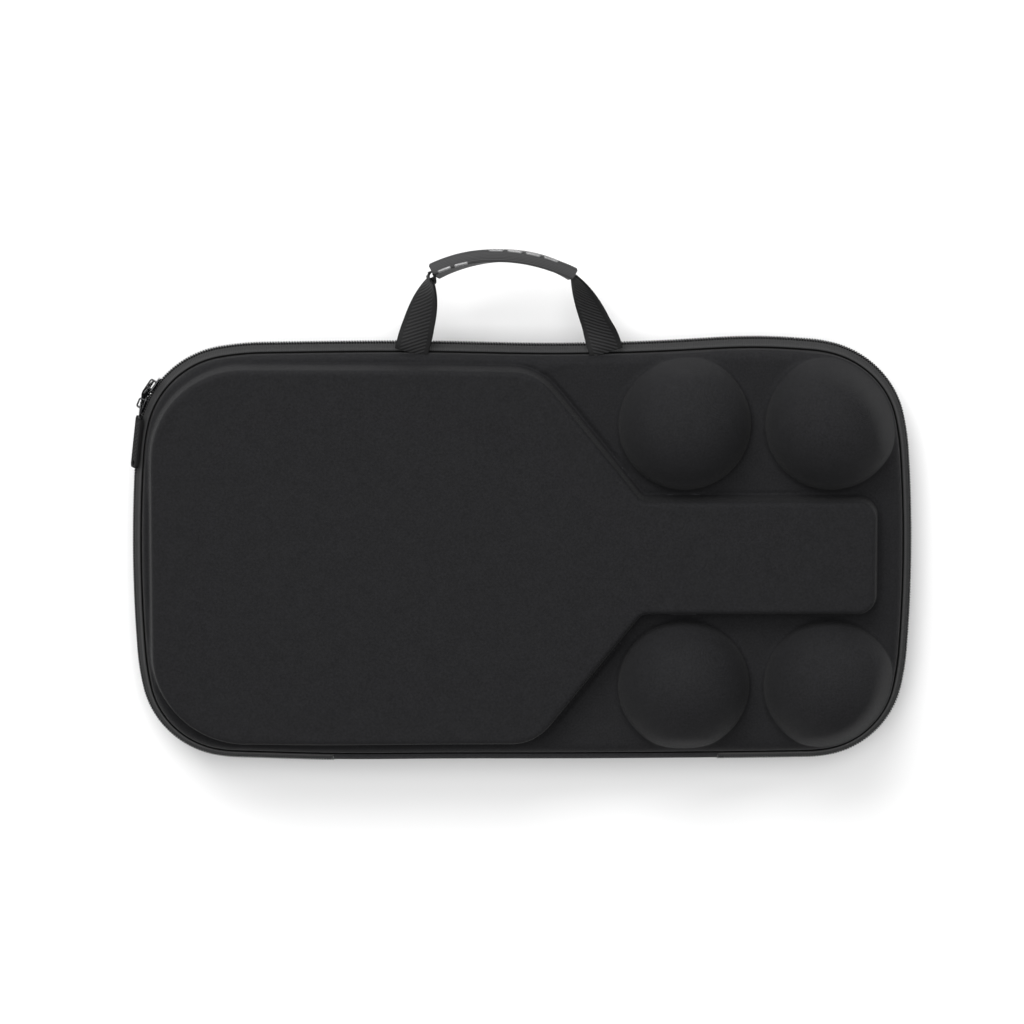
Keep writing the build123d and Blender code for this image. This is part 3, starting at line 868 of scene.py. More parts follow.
def stitch_row(name, places, ahead, up, length, radius):
    """A row of short round stitches, each along its own direction."""
    count = 7
    t = np.linspace(-1, 1, count)
    swell = np.sqrt(np.maximum(1 - t**6, 0.02))
    sides = 6
    turn = full_turn(sides)
    ahead = np.broadcast_to(ahead, places.shape)
    up = np.broadcast_to(up, places.shape)
    across = np.cross(ahead, up)
    points = places[:, None, None] + ahead[:, None, None] * (t * length / 2)[None, :, None, None]
    ring = across[:, None, None] * np.cos(turn)[None, None, :, None]
    ring = ring + up[:, None, None] * np.sin(turn)[None, None, :, None]
    points = points + ring * (swell * radius)[None, :, None, None]
    rows = capped_faces(count, sides)[None] + (np.arange(len(places)) * count * sides)[:, None, None]
    return finish_mesh(name, points.reshape(-1, 3), rows.reshape(-1, 4))


def ring_stitches(name, upper):
    """Stitches all round the case along one binding."""
    inset, z, pitch = BINDING_STITCH_INSET, BINDING_STITCH_Z, BINDING_STITCH_PITCH
    if not upper:
        z = 2 * PARTING_Z - z
    track = Track(np.arange(0, PERIMETER - pitch, pitch))
    places = lifted(track, inset, z)
    length = pitch * BINDING_STITCH_SHARE
    return stitch_row(name, places, track.ahead(), (0, 0, 1), length, BINDING_THREAD)


for half, is_upper in (("front", True), ("back", False)):
    zip_tape(f"{half}_zip_tape_cloth", is_upper)
    zip_coil(f"{half}_zip_coil_wire", is_upper)
    seam_cord(f"{half}_seam_thread_and_shade", is_upper)
    binding(f"{half}_binding_tape", is_upper)
    ring_stitches(f"{half}_binding_stitches", is_upper)
spine_piece = spine()


# ---------------------------------------------------------------- strips of webbing and elastic

TWILL_PITCH = 1.9
TWILL_SLOPE = math.radians(33.0)
TWILL_HEIGHT = 0.14
SELVEDGE = 0.72  # the ribbed share of the webbing's width
EDGE_THINNING = 0.92  # how thin a strip's two edges run out, and how suddenly
EDGE_POWER = 12


def ribbon(name, centres, across, width, thickness, columns, lift=None):
    """Closed strip along a path, its width along the unit vectors in across."""
    centres, across = np.asarray(centres, float), np.asarray(across, float)
    ahead = np.gradient(centres, axis=0)
    steps = np.linalg.norm(ahead, axis=1)
    ahead /= steps[:, None]
    facing = unit(np.cross(across, ahead))
    distance = np.concatenate([[0], np.cumsum((steps[1:] + steps[:-1]) / 2)])
    share = np.linspace(-1, 1, columns)
    half = thickness / 2 * np.sqrt(1 - EDGE_THINNING * np.abs(share) ** EDGE_POWER)
    s, v = np.meshgrid(distance, share * width / 2, indexing="ij")
    raised = lift(s, v) if lift else np.zeros(s.shape)
    flat = centres[:, None] + across[:, None] * v[..., None]
    top = flat + facing[:, None] * (half + raised)[..., None]
    low = flat - facing[:, None] * (half + raised)[..., None]
    points = np.concatenate([top, low[:, ::-1]], axis=1)
    thing = finish_mesh(name, points.reshape(-1, 3), capped_faces(len(centres), 2 * columns))
    for key, values in (("along", s), ("across", v), ("raised", raised)):
        add_values(thing, key, np.concatenate([values, values[:, ::-1]], axis=1).ravel())
    return thing


def twill(slant):
    """Diagonal ribs between two plain selvedges; slant is the side that they rise to."""

    def lift(s, v):
        reach = s * math.cos(TWILL_SLOPE) - slant * v * math.sin(TWILL_SLOPE)
        wave = np.sin(2 * math.pi * reach / TWILL_PITCH)
        inside = np.clip((SELVEDGE * WEB_WIDTH / 2 - np.abs(v)) * 4, 0, 1)
        return TWILL_HEIGHT * wave * inside

    return lift


# ---------------------------------------------------------------- carry handle

LEG_REACH = 42.0  # how far each leg holds its direction at either end
LEG_LEANS = (0.25, -0.28)  # how far the left and right legs lean in as they leave the seam
LEG_ANGLES = (math.radians(76.0), math.radians(116.0))  # how steeply they arrive at the grip
LEG_TURNS = (math.radians(16.0), math.radians(26.0))  # how far they have turned just above the seam
TURN_START = (0.04, 0.4)
TWIST_DELAY = 2.2
ROOT_START_Y = 119.7
ROOT_DIP = 1.2
ROOT_DIP_LENGTH = 2.5
PLY_GAP = 1.5  # how far the left leg's two plies part below the grip
PLY_PART = 0.88
PLY_CLOSE = 1.25
WEB_COLUMNS = 41
GRIP_LEANS = ((-1.0, 15.0), (-0.55, 12.0), (0.15, 5.5), (0.6, 5.0), (1.0, 9.0))  # degrees along the grip
GRIP_SQUARENESS = 0.22
GRIP_END_SHARE = 0.02  # the part of the half grip that is rounded off at its end
GRIP_RIBS = 9
GRIP_RIB = 0.1
RAIL_RADIUS = 0.95
RAIL_DEPTH = 0.3
RAIL_INSET = 0.35
UPPER_RAIL = (-0.2, 0.8)  # from and to, as shares of half the grip
LOWER_RAIL = (-0.93, -0.4)
NOTCH_PITCH = 10.4
NOTCH_WIDTH = 2.0


def grip_lean(share):
    """How far the grip's front edge leans outwards, from its left end (-1) to its right (1)."""
    places, leans = zip(*GRIP_LEANS)
    line = smooth_line(np.stack([places, np.array(leans) / 10], axis=1), 80)
    return np.radians(np.interp(share, line[:, 0], line[:, 1] * 10))


def grip_frames(share):
    """Centre, outward and across vectors of the grip at shares of its length."""
    right, left = GRIP_ANGLES
    angle = np.radians((left + right) / 2 + (left - right) / 2 * -np.asarray(share))
    out = np.stack([np.cos(angle), np.sin(angle), np.zeros(len(angle))], axis=1)
    centre = np.array([*GRIP_CENTRE, HANDLE_PIVOT_Z]) + out * GRIP_ARC_RADIUS
    lean = grip_lean(share)[:, None]
    up = np.array([0, 0, 1.0])
    across = up * np.cos(lean) + out * np.sin(lean)
    outward = out * np.cos(lean) - up * np.sin(lean)
    return centre, outward, across


def handle_leg(root_x, left, ply):
    """One ply of the webbing from the seam to an end of the grip, turning on edge on the way."""
    t = np.linspace(0, 1, 190)[:, None]
    share = np.array([-1.0 if left else 1.0])
    end, outward, grip_across = (value[0] for value in grip_frames(share))
    index = 0 if left else 1
    angle = LEG_ANGLES[index]
    arrive = np.array([math.cos(angle), math.sin(angle), 0]) * LEG_REACH
    start = np.array([root_x, ROOT_START_Y, HANDLE_PIVOT_Z])
    leave = np.array([LEG_LEANS[index], 1.0, 0]) * LEG_REACH
    path = start * (2 * t**3 - 3 * t**2 + 1) + leave * (t**3 - 2 * t**2 + t)
    path = path + end * (3 * t**2 - 2 * t**3) + arrive * (t**3 - t**2)
    path[:, 2] -= ROOT_DIP * np.exp(-(path[:, 1] - ROOT_START_Y) / ROOT_DIP_LENGTH)
    ahead = unit(np.gradient(path, axis=0))
    side = unit(np.stack([ahead[:, 1], -ahead[:, 0], np.zeros(len(t))], axis=1))
    full = math.atan2(grip_across[2], float(grip_across @ side[-1]))
    early = ease(np.clip((t - TURN_START[0]) / (TURN_START[1] - TURN_START[0]), 0, 1))
    turn = LEG_TURNS[index] * early + (full - LEG_TURNS[index]) * t**TWIST_DELAY
    across = side * np.cos(turn) + np.array([0, 0, 1.0]) * np.sin(turn)
    facing = np.cross(across, ahead)
    part = np.clip((t - PLY_PART) / (1 - PLY_PART), 0, 1)
    gap = PLY_GAP * np.sin(math.pi * np.sqrt(part) / PLY_CLOSE) if left else 0.0
    offset = ply * (WEB / 4 + gap)
    ribs = twill(1 if left else -1)
    return ribbon("ply", path + facing * offset, across, WEB_WIDTH, WEB / 2, WEB_COLUMNS, ribs)


def handle_grip():
    """Moulded grip with fine lengthwise ribs, bent and slightly twisted."""
    share = np.linspace(-1, 1, 90)
    centre, outward, across = grip_frames(share)
    turn = full_turn(160)
    wide = np.sign(np.sin(turn)) * np.abs(np.sin(turn)) ** GRIP_SQUARENESS * GRIP_WIDTH / 2
    thick = np.sign(np.cos(turn)) * np.abs(np.cos(turn)) ** GRIP_SQUARENESS * GRIP / 2
    rib = 1 + GRIP_RIB / (GRIP / 2) * np.cos(2 * math.pi * thick / GRIP * GRIP_RIBS)
    wide = wide * np.where(np.abs(wide) > GRIP_WIDTH / 2 - 1, 1 + (rib - 1) / 4, 1)
    near_end = np.clip((np.abs(share) - 1 + GRIP_END_SHARE) / GRIP_END_SHARE, 0, 1)
    end_round = np.sqrt(1 - 0.5 * near_end**2)[:, None, None]
    points = centre[:, None] + outward[:, None] * thick[None, :, None] * end_round
    points = points + across[:, None] * wide[None, :, None]
    faces = capped_faces(len(share), len(turn))
    thing = finish_mesh("handle_grip_moulding", points.reshape(-1, 3), faces)
    add_values(thing, "across", np.tile(thick, len(share)))
    return thing


def grip_rail(start, end, side):
    """Glossy beads along one edge of the grip, apart from each other so that it bends."""
    length = math.radians(GRIP_ANGLES[1] - GRIP_ANGLES[0]) / 2 * GRIP_ARC_RADIUS
    count = int((end - start) * length / NOTCH_PITCH)
    beads = []
    for k in range(count):
        first = start + k * NOTCH_PITCH / length
        share = np.linspace(first, first + (NOTCH_PITCH - NOTCH_WIDTH) / length, 40)
        centre, outward, across = grip_frames(share)
        path = centre + outward * side * (GRIP / 2 - RAIL_INSET - RAIL_RADIUS / 2)
        path = path + across * (GRIP_WIDTH / 2 - RAIL_DEPTH)
        ends = np.clip(np.minimum(share - share[0], share[-1] - share) * length / RAIL_RADIUS, 0, 1)
        radius = RAIL_RADIUS * np.sqrt(np.maximum(1 - (1 - ends) ** 2, 0.02))
        beads.append(tube("bead", path, (0, 0, 1), radius, 12))
    return join(beads, "rail")


legs = []
for is_left in (True, False):
    for ply_side in (1, -1):
        legs.append(handle_leg(LEG_ROOT_XS[0] if is_left else LEG_ROOT_XS[1], is_left, ply_side))
webbing_piece = join(legs, "handle_webbing_cloth")
handle_grip()
join([grip_rail(*UPPER_RAIL, 1), grip_rail(*LOWER_RAIL, -1)], "handle_grip_beads")


# ---------------------------------------------------------------- sliders and pulls

LINK_HEIGHT = 2.6
LINK_WIRE = 1.1
LINK_LENGTH = 8.6
LINK_WIDTH = 8.4
LINK_CORNER = 1.9
TAB_LENGTH = 31.0
TAB_WIDTH = 9.0
TAB_HEAD = 1.5
TAB_HOLE_RADIUS = 1.4
LOWER_TAB_LEAN = 16.5
UPPER_SWIVEL = 135.0
UPPER_LINK_LEAN = -6.0
UPPER_TAB_LEAN = 27.0
LOWER_TAB_ROLL = 24.0
LOWER_TAB_SHIFT = (-1.5, -2.3, 3.6)  # along the band, away from it and towards the front
KNURL_PITCH = 2.3
KNURL_SPREAD = 4.6
KNURL_HEIGHT = 0.4
KNURL_SIDE_MARGIN = 1.2
KNURL_HEAD_MARGIN = 2.0
KNURL_TIP_MARGIN = 1.0
KNURL_HOLE_MARGIN = 0.8
HOLE_RING = 0.5  # a low ring round the tab's hole
HOLE_RING_WIDTH = 0.35
HOLE_RING_HEIGHT = 0.18
FLAT_FACING = 0.7
METAL_VOXEL = 0.16
SLIDER_ROUNDS = 5
STOP_ROUNDS = 4
TAB_VOXEL = 0.2
TAB_ROUNDS = 6


def slider_frame(angle, flip):
    """Matrix in millimetres of a slider: X along the coil, Y outwards, Z across the coil."""
    corner = left_side(quarter_arcs(SLIDER_CORNER_RADII))[2]
    turn = math.radians(angle)
    along = Vector((flip * math.sin(turn), flip * math.cos(turn), 0))
    across = Vector((0, 0, flip))
    frame_matrix = Matrix((along, across.cross(along), across)).transposed().to_4x4()
    place = (corner[0] - corner[2] * math.cos(turn), corner[1] + corner[2] * math.sin(turn), PARTING_Z)
    return Matrix.Translation(place) @ frame_matrix


def turned(degrees, axis):
    """Turn about one of a place's own axes."""
    return Matrix.Rotation(math.radians(degrees), 4, axis)


def aimed(place, direction):
    """The same place with its X axis turned to a direction and its Z axis kept as near as can be."""
    x_axis = direction.normalized()
    y_axis = place.col[2].xyz.cross(x_axis).normalized()
    turned_axes = Matrix((x_axis, y_axis, x_axis.cross(y_axis))).transposed().to_4x4()
    return Matrix.Translation(place.translation) @ turned_axes


def moved(points, matrix):
    """Points put through a matrix."""
    matrix = np.array(matrix)
    return np.asarray(points) @ matrix[:3, :3].T + matrix[:3, 3]


def evaluated_mesh(thing, name):
    """The object's mesh with its modifiers worked in."""
    bpy.context.view_layer.update()
    mesh = bpy.data.meshes.new_from_object(thing.evaluated_get(bpy.context.evaluated_depsgraph_get()))
    mesh.name = name
    return mesh


def softened_copy(name, node, voxel, rounds):
    """A finely meshed copy of a CAD node with its edges worn round."""
    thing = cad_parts[node].copy()
    thing.data = thing.data.copy()
    thing.parent = None
    for key in list(thing.keys()):
        del thing[key]
    bpy.context.scene.collection.objects.link(thing)
    remesh = thing.modifiers.new("remesh", "REMESH")
    remesh.mode = "VOXEL"
    remesh.voxel_size = voxel * MM
    remesh.use_smooth_shade = True
    smooth = thing.modifiers.new("smooth", "SMOOTH")
    smooth.factor = 0.5
    smooth.iterations = rounds
    mesh = evaluated_mesh(thing, name)
    bpy.data.objects.remove(thing)
    for face in mesh.polygons:
        face.use_smooth = True
    mesh.materials.clear()
    thing = bpy.data.objects.new(name, mesh)
    bpy.context.scene.collection.objects.link(thing)
    return thing


def mesh_points(thing):
    """Vertices of an object in millimetres."""
    points = np.empty(len(thing.data.vertices) * 3)
    thing.data.vertices.foreach_get("co", points)
    return points.reshape(-1, 3) / MM


def mesh_normals(thing):
    """Normals at the vertices of an object."""
    normals = np.empty(len(thing.data.vertices) * 3, np.float32)
    thing.data.vertices.foreach_get("normal", normals)
    return normals.reshape(-1, 3)


def set_points(thing, points):
    """Moves an object's vertices to points in millimetres."""
    thing.data.vertices.foreach_set("co", (points * MM).astype(np.float32).ravel())
    thing.data.update()


def wire_link(name, frame_matrix, length):
    """Closed loop of round wire, hinged at the frame's origin."""
    half_long = (length - LINK_WIRE) / 2 - LINK_CORNER
    half_wide = (LINK_WIDTH - LINK_WIRE) / 2 - LINK_CORNER
    turn = full_turn(96)
    x = np.cos(turn) * LINK_CORNER + np.sign(np.cos(turn)) * half_long - half_long - LINK_CORNER
    z = np.sin(turn) * LINK_CORNER + np.sign(np.sin(turn)) * half_wide
    path = np.stack([x, np.zeros(len(turn)), z], axis=1)
    ahead = unit(np.roll(path, -1, axis=0) - np.roll(path, 1, axis=0))
    first = np.cross(ahead, (0, 1.0, 0))
    sides = 14
    around = full_turn(sides)
    ring = first[:, None] * np.cos(around)[None, :, None]
    ring = ring + np.array([0, 1.0, 0]) * np.sin(around)[None, :, None]
    points = (path[:, None] + ring * LINK_WIRE / 2).reshape(-1, 3)
    return finish_mesh(name, moved(points, frame_matrix), grid_faces(len(turn), sides, True, True))


def knurled_tab(name, node, cad_place, place):
    """The pull's tab with a fine diamond knurl on both faces, laid at a place of its own."""
    thing = softened_copy(name, node, TAB_VOXEL, TAB_ROUNDS)
    local = moved(mesh_points(thing), cad_place.inverted())
    facing = mesh_normals(thing) @ np.array(cad_place)[:3, :3]
    tip = TAB_HEAD - TAB_LENGTH
    x, z = local[:, 0], local[:, 2]
    first, second = x / KNURL_PITCH + z / KNURL_SPREAD, x / KNURL_PITCH - z / KNURL_SPREAD
    diamonds = np.sin(math.pi * first) * np.sin(math.pi * second)
    hole = np.hypot(x - tip - 2 * TAB_HOLE_RADIUS, z) - TAB_HOLE_RADIUS
    inside = np.clip((TAB_WIDTH / 2 - KNURL_SIDE_MARGIN - np.abs(z)) * 3, 0, 1)
    for margin in (-x - KNURL_HEAD_MARGIN, x - tip - KNURL_TIP_MARGIN, hole - KNURL_HOLE_MARGIN):
        inside = inside * np.clip(margin * 2, 0, 1)
    ring = np.exp(-(((hole - HOLE_RING) / HOLE_RING_WIDTH) ** 2)) * HOLE_RING_HEIGHT
    flat = np.abs(facing[:, 1]) > FLAT_FACING
    rise = np.where(flat, np.abs(diamonds) * KNURL_HEIGHT * inside + ring, 0.0)
    # the material paints highlight on these raised heights and shade in the grooves between them
    add_values(thing, "raised", rise)
    local = local + facing * rise[:, None]
    set_points(thing, moved(local, place))
    return thing


hinge = Matrix.Translation((0, LINK_HEIGHT, 0))
far_bar = Matrix.Translation((LINK_WIRE - LINK_LENGTH, 0, 0))
lower_hinge = slider_frame(SLIDER_ANGLES[0], 1) @ hinge
upper_hinge = slider_frame(SLIDER_ANGLES[1], -1) @ hinge @ turned(UPPER_SWIVEL, "Y")
upper_hinge = upper_hinge @ turned(UPPER_LINK_LEAN, "Z")
for side in ("lower", "upper"):
    softened_copy(f"{side}_slider_metal", f"{side}_slider", METAL_VOXEL, SLIDER_ROUNDS)
softened_copy("zip_stops_metal", "zip_stops", METAL_VOXEL, STOP_ROUNDS)
lower_place = lower_hinge @ far_bar @ turned(LOWER_TAB_LEAN, "Z")
upper_place = upper_hinge @ far_bar @ turned(UPPER_TAB_LEAN, "Z")
lower_laid = lower_place @ Matrix.Translation(LOWER_TAB_SHIFT) @ turned(LOWER_TAB_ROLL, "X")
reach = lower_hinge.translation - lower_laid.translation
wire_link("lower_pull_wire", aimed(lower_hinge, reach), reach.length + LINK_WIRE)
wire_link("upper_pull_wire", upper_hinge, LINK_LENGTH)
knurled_tab("lower_pull_grip", "lower_pull_tab", lower_place, lower_laid)
knurled_tab("upper_pull_grip", "upper_pull_tab", upper_place, upper_place)


# ---------------------------------------------------------------- inside: nets, strap and patches

NET_START_X = 54.0
NET_INNER_Y = 36.6
NET_Z = 38.6
NET_PITCH = 3.4
NET_THREAD = 0.75
NET_EDGE_INSET = 8.6
NET_BORDER = 4.0
NET_SAG = 0.6
SAG_FROM_SEAM = 20.0
SAG_FROM_BORDER = 15.0
NET_BORDER_THICKNESS = 1.1
HEM_WIDTH = 9.0
HEM = 1.4
HEM_MARGIN = 10.2
HEM_WAVE = 0.12
HEM_WAVE_PITCH = 3.1
ELASTIC_RIB = 0.12
ELASTIC_PITCH = 2.2
STRAP_X = 128.0
STRAP_WIDTH = 38.0
STRAP = 1.5
STRAP_SPAN = 76.0
STRAP_RISE = 18.0
STRAP_TAB = 16.0
STRAP_BOW = 0.93  # the share of the bow's arc before it turns out to lie flat
STRAP_FLARE = ((1.5, 0.3), (4.0, 0.0))  # how it does so: distance beyond the span, height
STRAP_LIFT = 0.05
FLOOR_Z = SHELL_WALL + LINING
PATCH = 0.8
PATCH_LENGTH = 12.0
PATCH_WIDTH = 32.0
PATCH_SHIFT = 1.2
PATCH_LIFT = 0.25
PATCH_STITCH_LIFT = 0.3
PATCH_MARGIN = 2.0
PATCH_STITCH_PITCH = 2.4
PATCH_STITCH_SHARE = 0.75
PATCH_THREAD = 0.26


def ball_net(name, side):
    """Knotless net of round threads over two ball moulds, with real holes."""
    reach_x, reach_y = LENGTH / 2, HEIGHT / 2
    count = int(reach_x / NET_PITCH)
    index = np.arange(-count, count + 1)
    i, j = np.meshgrid(index, index, indexing="ij")
    x = NET_START_X + (i + j) * NET_PITCH / 2 + reach_x / 2
    y = (i - j) * NET_PITCH / 2 + reach_y / 2
    keep = (x > NET_START_X - HEM_WIDTH / 2) & (y > NET_INNER_Y) & (inset_of(x, y) > NET_EDGE_INSET)
    keep &= (x < reach_x) & (y < reach_y)
    sag = np.clip((inset_of(x, y) - NET_EDGE_INSET) / SAG_FROM_SEAM, 0, 1)
    z = NET_Z - NET_SAG * sag * np.clip((y - NET_INNER_Y) / SAG_FROM_BORDER, 0, 1)
    points = np.stack([x, side * y, z], axis=-1).reshape(-1, 3)
    corner = np.arange(keep.size).reshape(keep.shape)
    quads = np.stack([corner[:-1, :-1], corner[1:, :-1], corner[1:, 1:], corner[:-1, 1:]], axis=-1)
    whole = keep[:-1, :-1] & keep[1:, :-1] & keep[1:, 1:] & keep[:-1, 1:]
    faces = quads[whole]
    used, compact = np.unique(faces, return_inverse=True)
    net = finish_mesh(name, points[used], compact.reshape(-1, 4))
    wire = net.modifiers.new("threads", "WIREFRAME")
    wire.thickness = NET_THREAD * MM
    wire.use_even_offset = False
    wire.use_boundary = True
    mesh = evaluated_mesh(net, name)
    net.modifiers.clear()
    net.data = mesh


def elastic_ribs(s, v):
    """Ribs along a strip of elastic."""
    return ELASTIC_RIB * np.cos(2 * math.pi * v / ELASTIC_PITCH)


def net_border(name, side):
    """Cloth tape that holds the net's inner edge down beside the paddle-handle mould."""
    x = np.linspace(NET_START_X - HEM_WIDTH, GRIP_MOULD_END_X + 4, 120)
    y = side * (NET_INNER_Y + NET_BORDER / 2)
    path = np.stack([x, np.full(len(x), y), np.full(len(x), NET_Z)], axis=1)
    across = np.tile([0, 1.0, 0], (len(x), 1))
    return ribbon(name, path, across, NET_BORDER, NET_BORDER_THICKNESS, 15)


def net_hem(name, side):
    """Elastic hem along the net's open side, lightly gathered."""
    x = NET_START_X - HEM_WIDTH / 2
    y = np.linspace(NET_INNER_Y, HEIGHT / 2 - HEM_MARGIN, 260)
    z = NET_Z + HEM_WAVE * np.sin(2 * math.pi * (y - NET_INNER_Y) / HEM_WAVE_PITCH)
    path = np.stack([np.full(len(y), x), side * y, z], axis=1)
    across = np.tile([1.0, 0, 0], (len(y), 1))
    return ribbon(name, path, across, HEM_WIDTH, HEM, 33, elastic_ribs)


def paddle_strap():
    """Ribbed elastic that bows over the paddle's handle, sewn down flat at both ends."""
    radius = ((STRAP_SPAN / 2) ** 2 + STRAP_RISE**2) / (2 * STRAP_RISE)
    middle_z = FLOOR_Z + STRAP_RISE - radius
    reach = math.asin(STRAP_SPAN / 2 / radius) * STRAP_BOW
    bow = [(radius * math.sin(a), middle_z + radius * math.cos(a)) for a in np.linspace(0, reach, 12)]
    end_y = STRAP_SPAN / 2 + STRAP_TAB
    low_z = FLOOR_Z + STRAP / 2 + STRAP_LIFT
    flare = [(STRAP_SPAN / 2 + reach_y, low_z + rise) for reach_y, rise in STRAP_FLARE]
    half = bow + flare + [(end_y, low_z)]
    line = [(-y, z) for y, z in half[:0:-1]] + half
    line = smooth_line(line, 260)
    path = np.stack([np.full(len(line), STRAP_X), line[:, 0], line[:, 1]], axis=1)
    across = np.tile([1.0, 0, 0], (len(line), 1))
    return ribbon("paddle_strap_elastic", path, across, STRAP_WIDTH, STRAP, 121, elastic_ribs)


def strap_patches():
    """Two grosgrain patches over the strap's ends."""
    things = []
    z = FLOOR_Z + STRAP + PATCH / 2 + PATCH_LIFT
    for side in (1, -1):
        middle = side * ((STRAP_SPAN + STRAP_TAB) / 2 + PATCH_SHIFT)
        y = np.linspace(-PATCH_LENGTH / 2, PATCH_LENGTH / 2, 40) + middle
        path = np.stack([np.full(len(y), STRAP_X), y, np.full(len(y), z)], axis=1)
        things.append(ribbon("patch", path, np.tile([1.0, 0, 0], (len(y), 1)), PATCH_WIDTH, PATCH, 61))
    return join(things, "strap_patch_tape")


def patch_stitches():
    """A box of stitches with a cross in it on each patch."""
    things = []
    z = FLOOR_Z + STRAP + PATCH + PATCH_STITCH_LIFT
    half_x, half_y = PATCH_WIDTH / 2 - PATCH_MARGIN, PATCH_LENGTH / 2 - PATCH_MARGIN
    corners = [(-half_x, -half_y), (half_x, -half_y), (half_x, half_y), (-half_x, half_y)]
    lines = list(zip(corners, corners[1:] + corners[:1])) + list(zip(corners[:2], corners[2:]))
    for side in (1, -1):
        middle = np.array([STRAP_X, side * ((STRAP_SPAN + STRAP_TAB) / 2 + PATCH_SHIFT)])
        for start, end in lines:
            start, end = np.array(start) + middle, np.array(end) + middle
            span = np.linalg.norm(end - start)
            count = int(span / PATCH_STITCH_PITCH)
            t = (np.arange(count) + 0.5)[:, None] / count
            flat = start + (end - start) * t
            places = np.concatenate([flat, np.full((count, 1), z)], axis=1)
            ahead = np.append((end - start) / span, 0)
            length = span / count * PATCH_STITCH_SHARE
            things.append(stitch_row("stitches", places, ahead, (0, 0, 1), length, PATCH_THREAD))
    return join(things, "strap_patch_stitches")


for half, direction in (("upper", 1), ("lower", -1)):
    ball_net(f"{half}_ball_net_threads", direction)
    net_border(f"{half}_net_border", direction)
    net_hem(f"{half}_net_hem_elastic", direction)
paddle_strap()
strap_patches()
patch_stitches()


# ---------------------------------------------------------------- camera and light

WORLD_LIGHT = 0.42
CAMERA_DISTANCE = 3500.0
CAMERA_TILT = math.radians(9.0)
FIELD_WIDTH = 604.7
SENSOR = 36.0
AIM = (-6.0, 23.0, PARTING_Z)


def place_camera():
    """A long lens over the case, tilted a little towards the carry handle's side."""
    data = bpy.data.cameras.new("camera")
    data.sensor_width = SENSOR
    data.lens = SENSOR * CAMERA_DISTANCE / FIELD_WIDTH
    data.clip_end = 20.0
    camera = bpy.data.objects.new("camera", data)
    aim = Vector(AIM)
    back = Vector((0, math.sin(CAMERA_TILT), math.cos(CAMERA_TILT)))
    right = Vector((1, 0, 0))
    up = back.cross(right)
    turn = Matrix((right, up, back)).transposed().to_4x4()
    camera.matrix_world = Matrix.Translation((aim + back * CAMERA_DISTANCE) * MM) @ turn
    bpy.context.scene.collection.objects.link(camera)
    bpy.context.scene.camera = camera


def area_light(name, place, target, size, watts):
    """A soft box at a place in metres."""
    data = bpy.data.lights.new(name, "AREA")
    data.shape = "RECTANGLE"
    data.size, data.size_y = size
    data.energy = watts
    light = bpy.data.objects.new(name, data)
    light.location = place
    aim = Vector(target) - Vector(place)
    light.rotation_euler = aim.to_track_quat("-Z", "Y").to_euler()
    bpy.context.scene.collection.objects.link(light)


place_camera()
area_light("key", (-0.7, 2.2, 1.95), (0, 0, 0), (2.4, 1.6), 86.0)
area_light("front", (0.0, 0.5, 3.2), (0, 0, 0), (2.4, 2.4), 66.0)

world = bpy.data.worlds.new("studio")
world.use_nodes = True
sky = world.node_tree.nodes["Background"]
sky.inputs["Color"].default_value = (1, 1, 1, 1)
sky.inputs["Strength"].default_value = WORLD_LIGHT
bpy.context.scene.world = world
bpy.context.scene.view_settings.view_transform = "Standard"

FLOOR_HALF = 6.0
bpy.ops.mesh.primitive_plane_add(size=2 * FLOOR_HALF)
floor = bpy.context.object
floor.name = "floor"
floor_paint = bpy.data.materials.new("floor")
floor_paint.use_nodes = True
floor_shader = floor_paint.node_tree.nodes["Principled BSDF"]
floor_shader.inputs["Base Color"].default_value = (0.9, 0.9, 0.9, 1)
floor_shader.inputs["Roughness"].default_value = 0.9
floor.data.materials.append(floor_paint)


# ---------------------------------------------------------------- materials


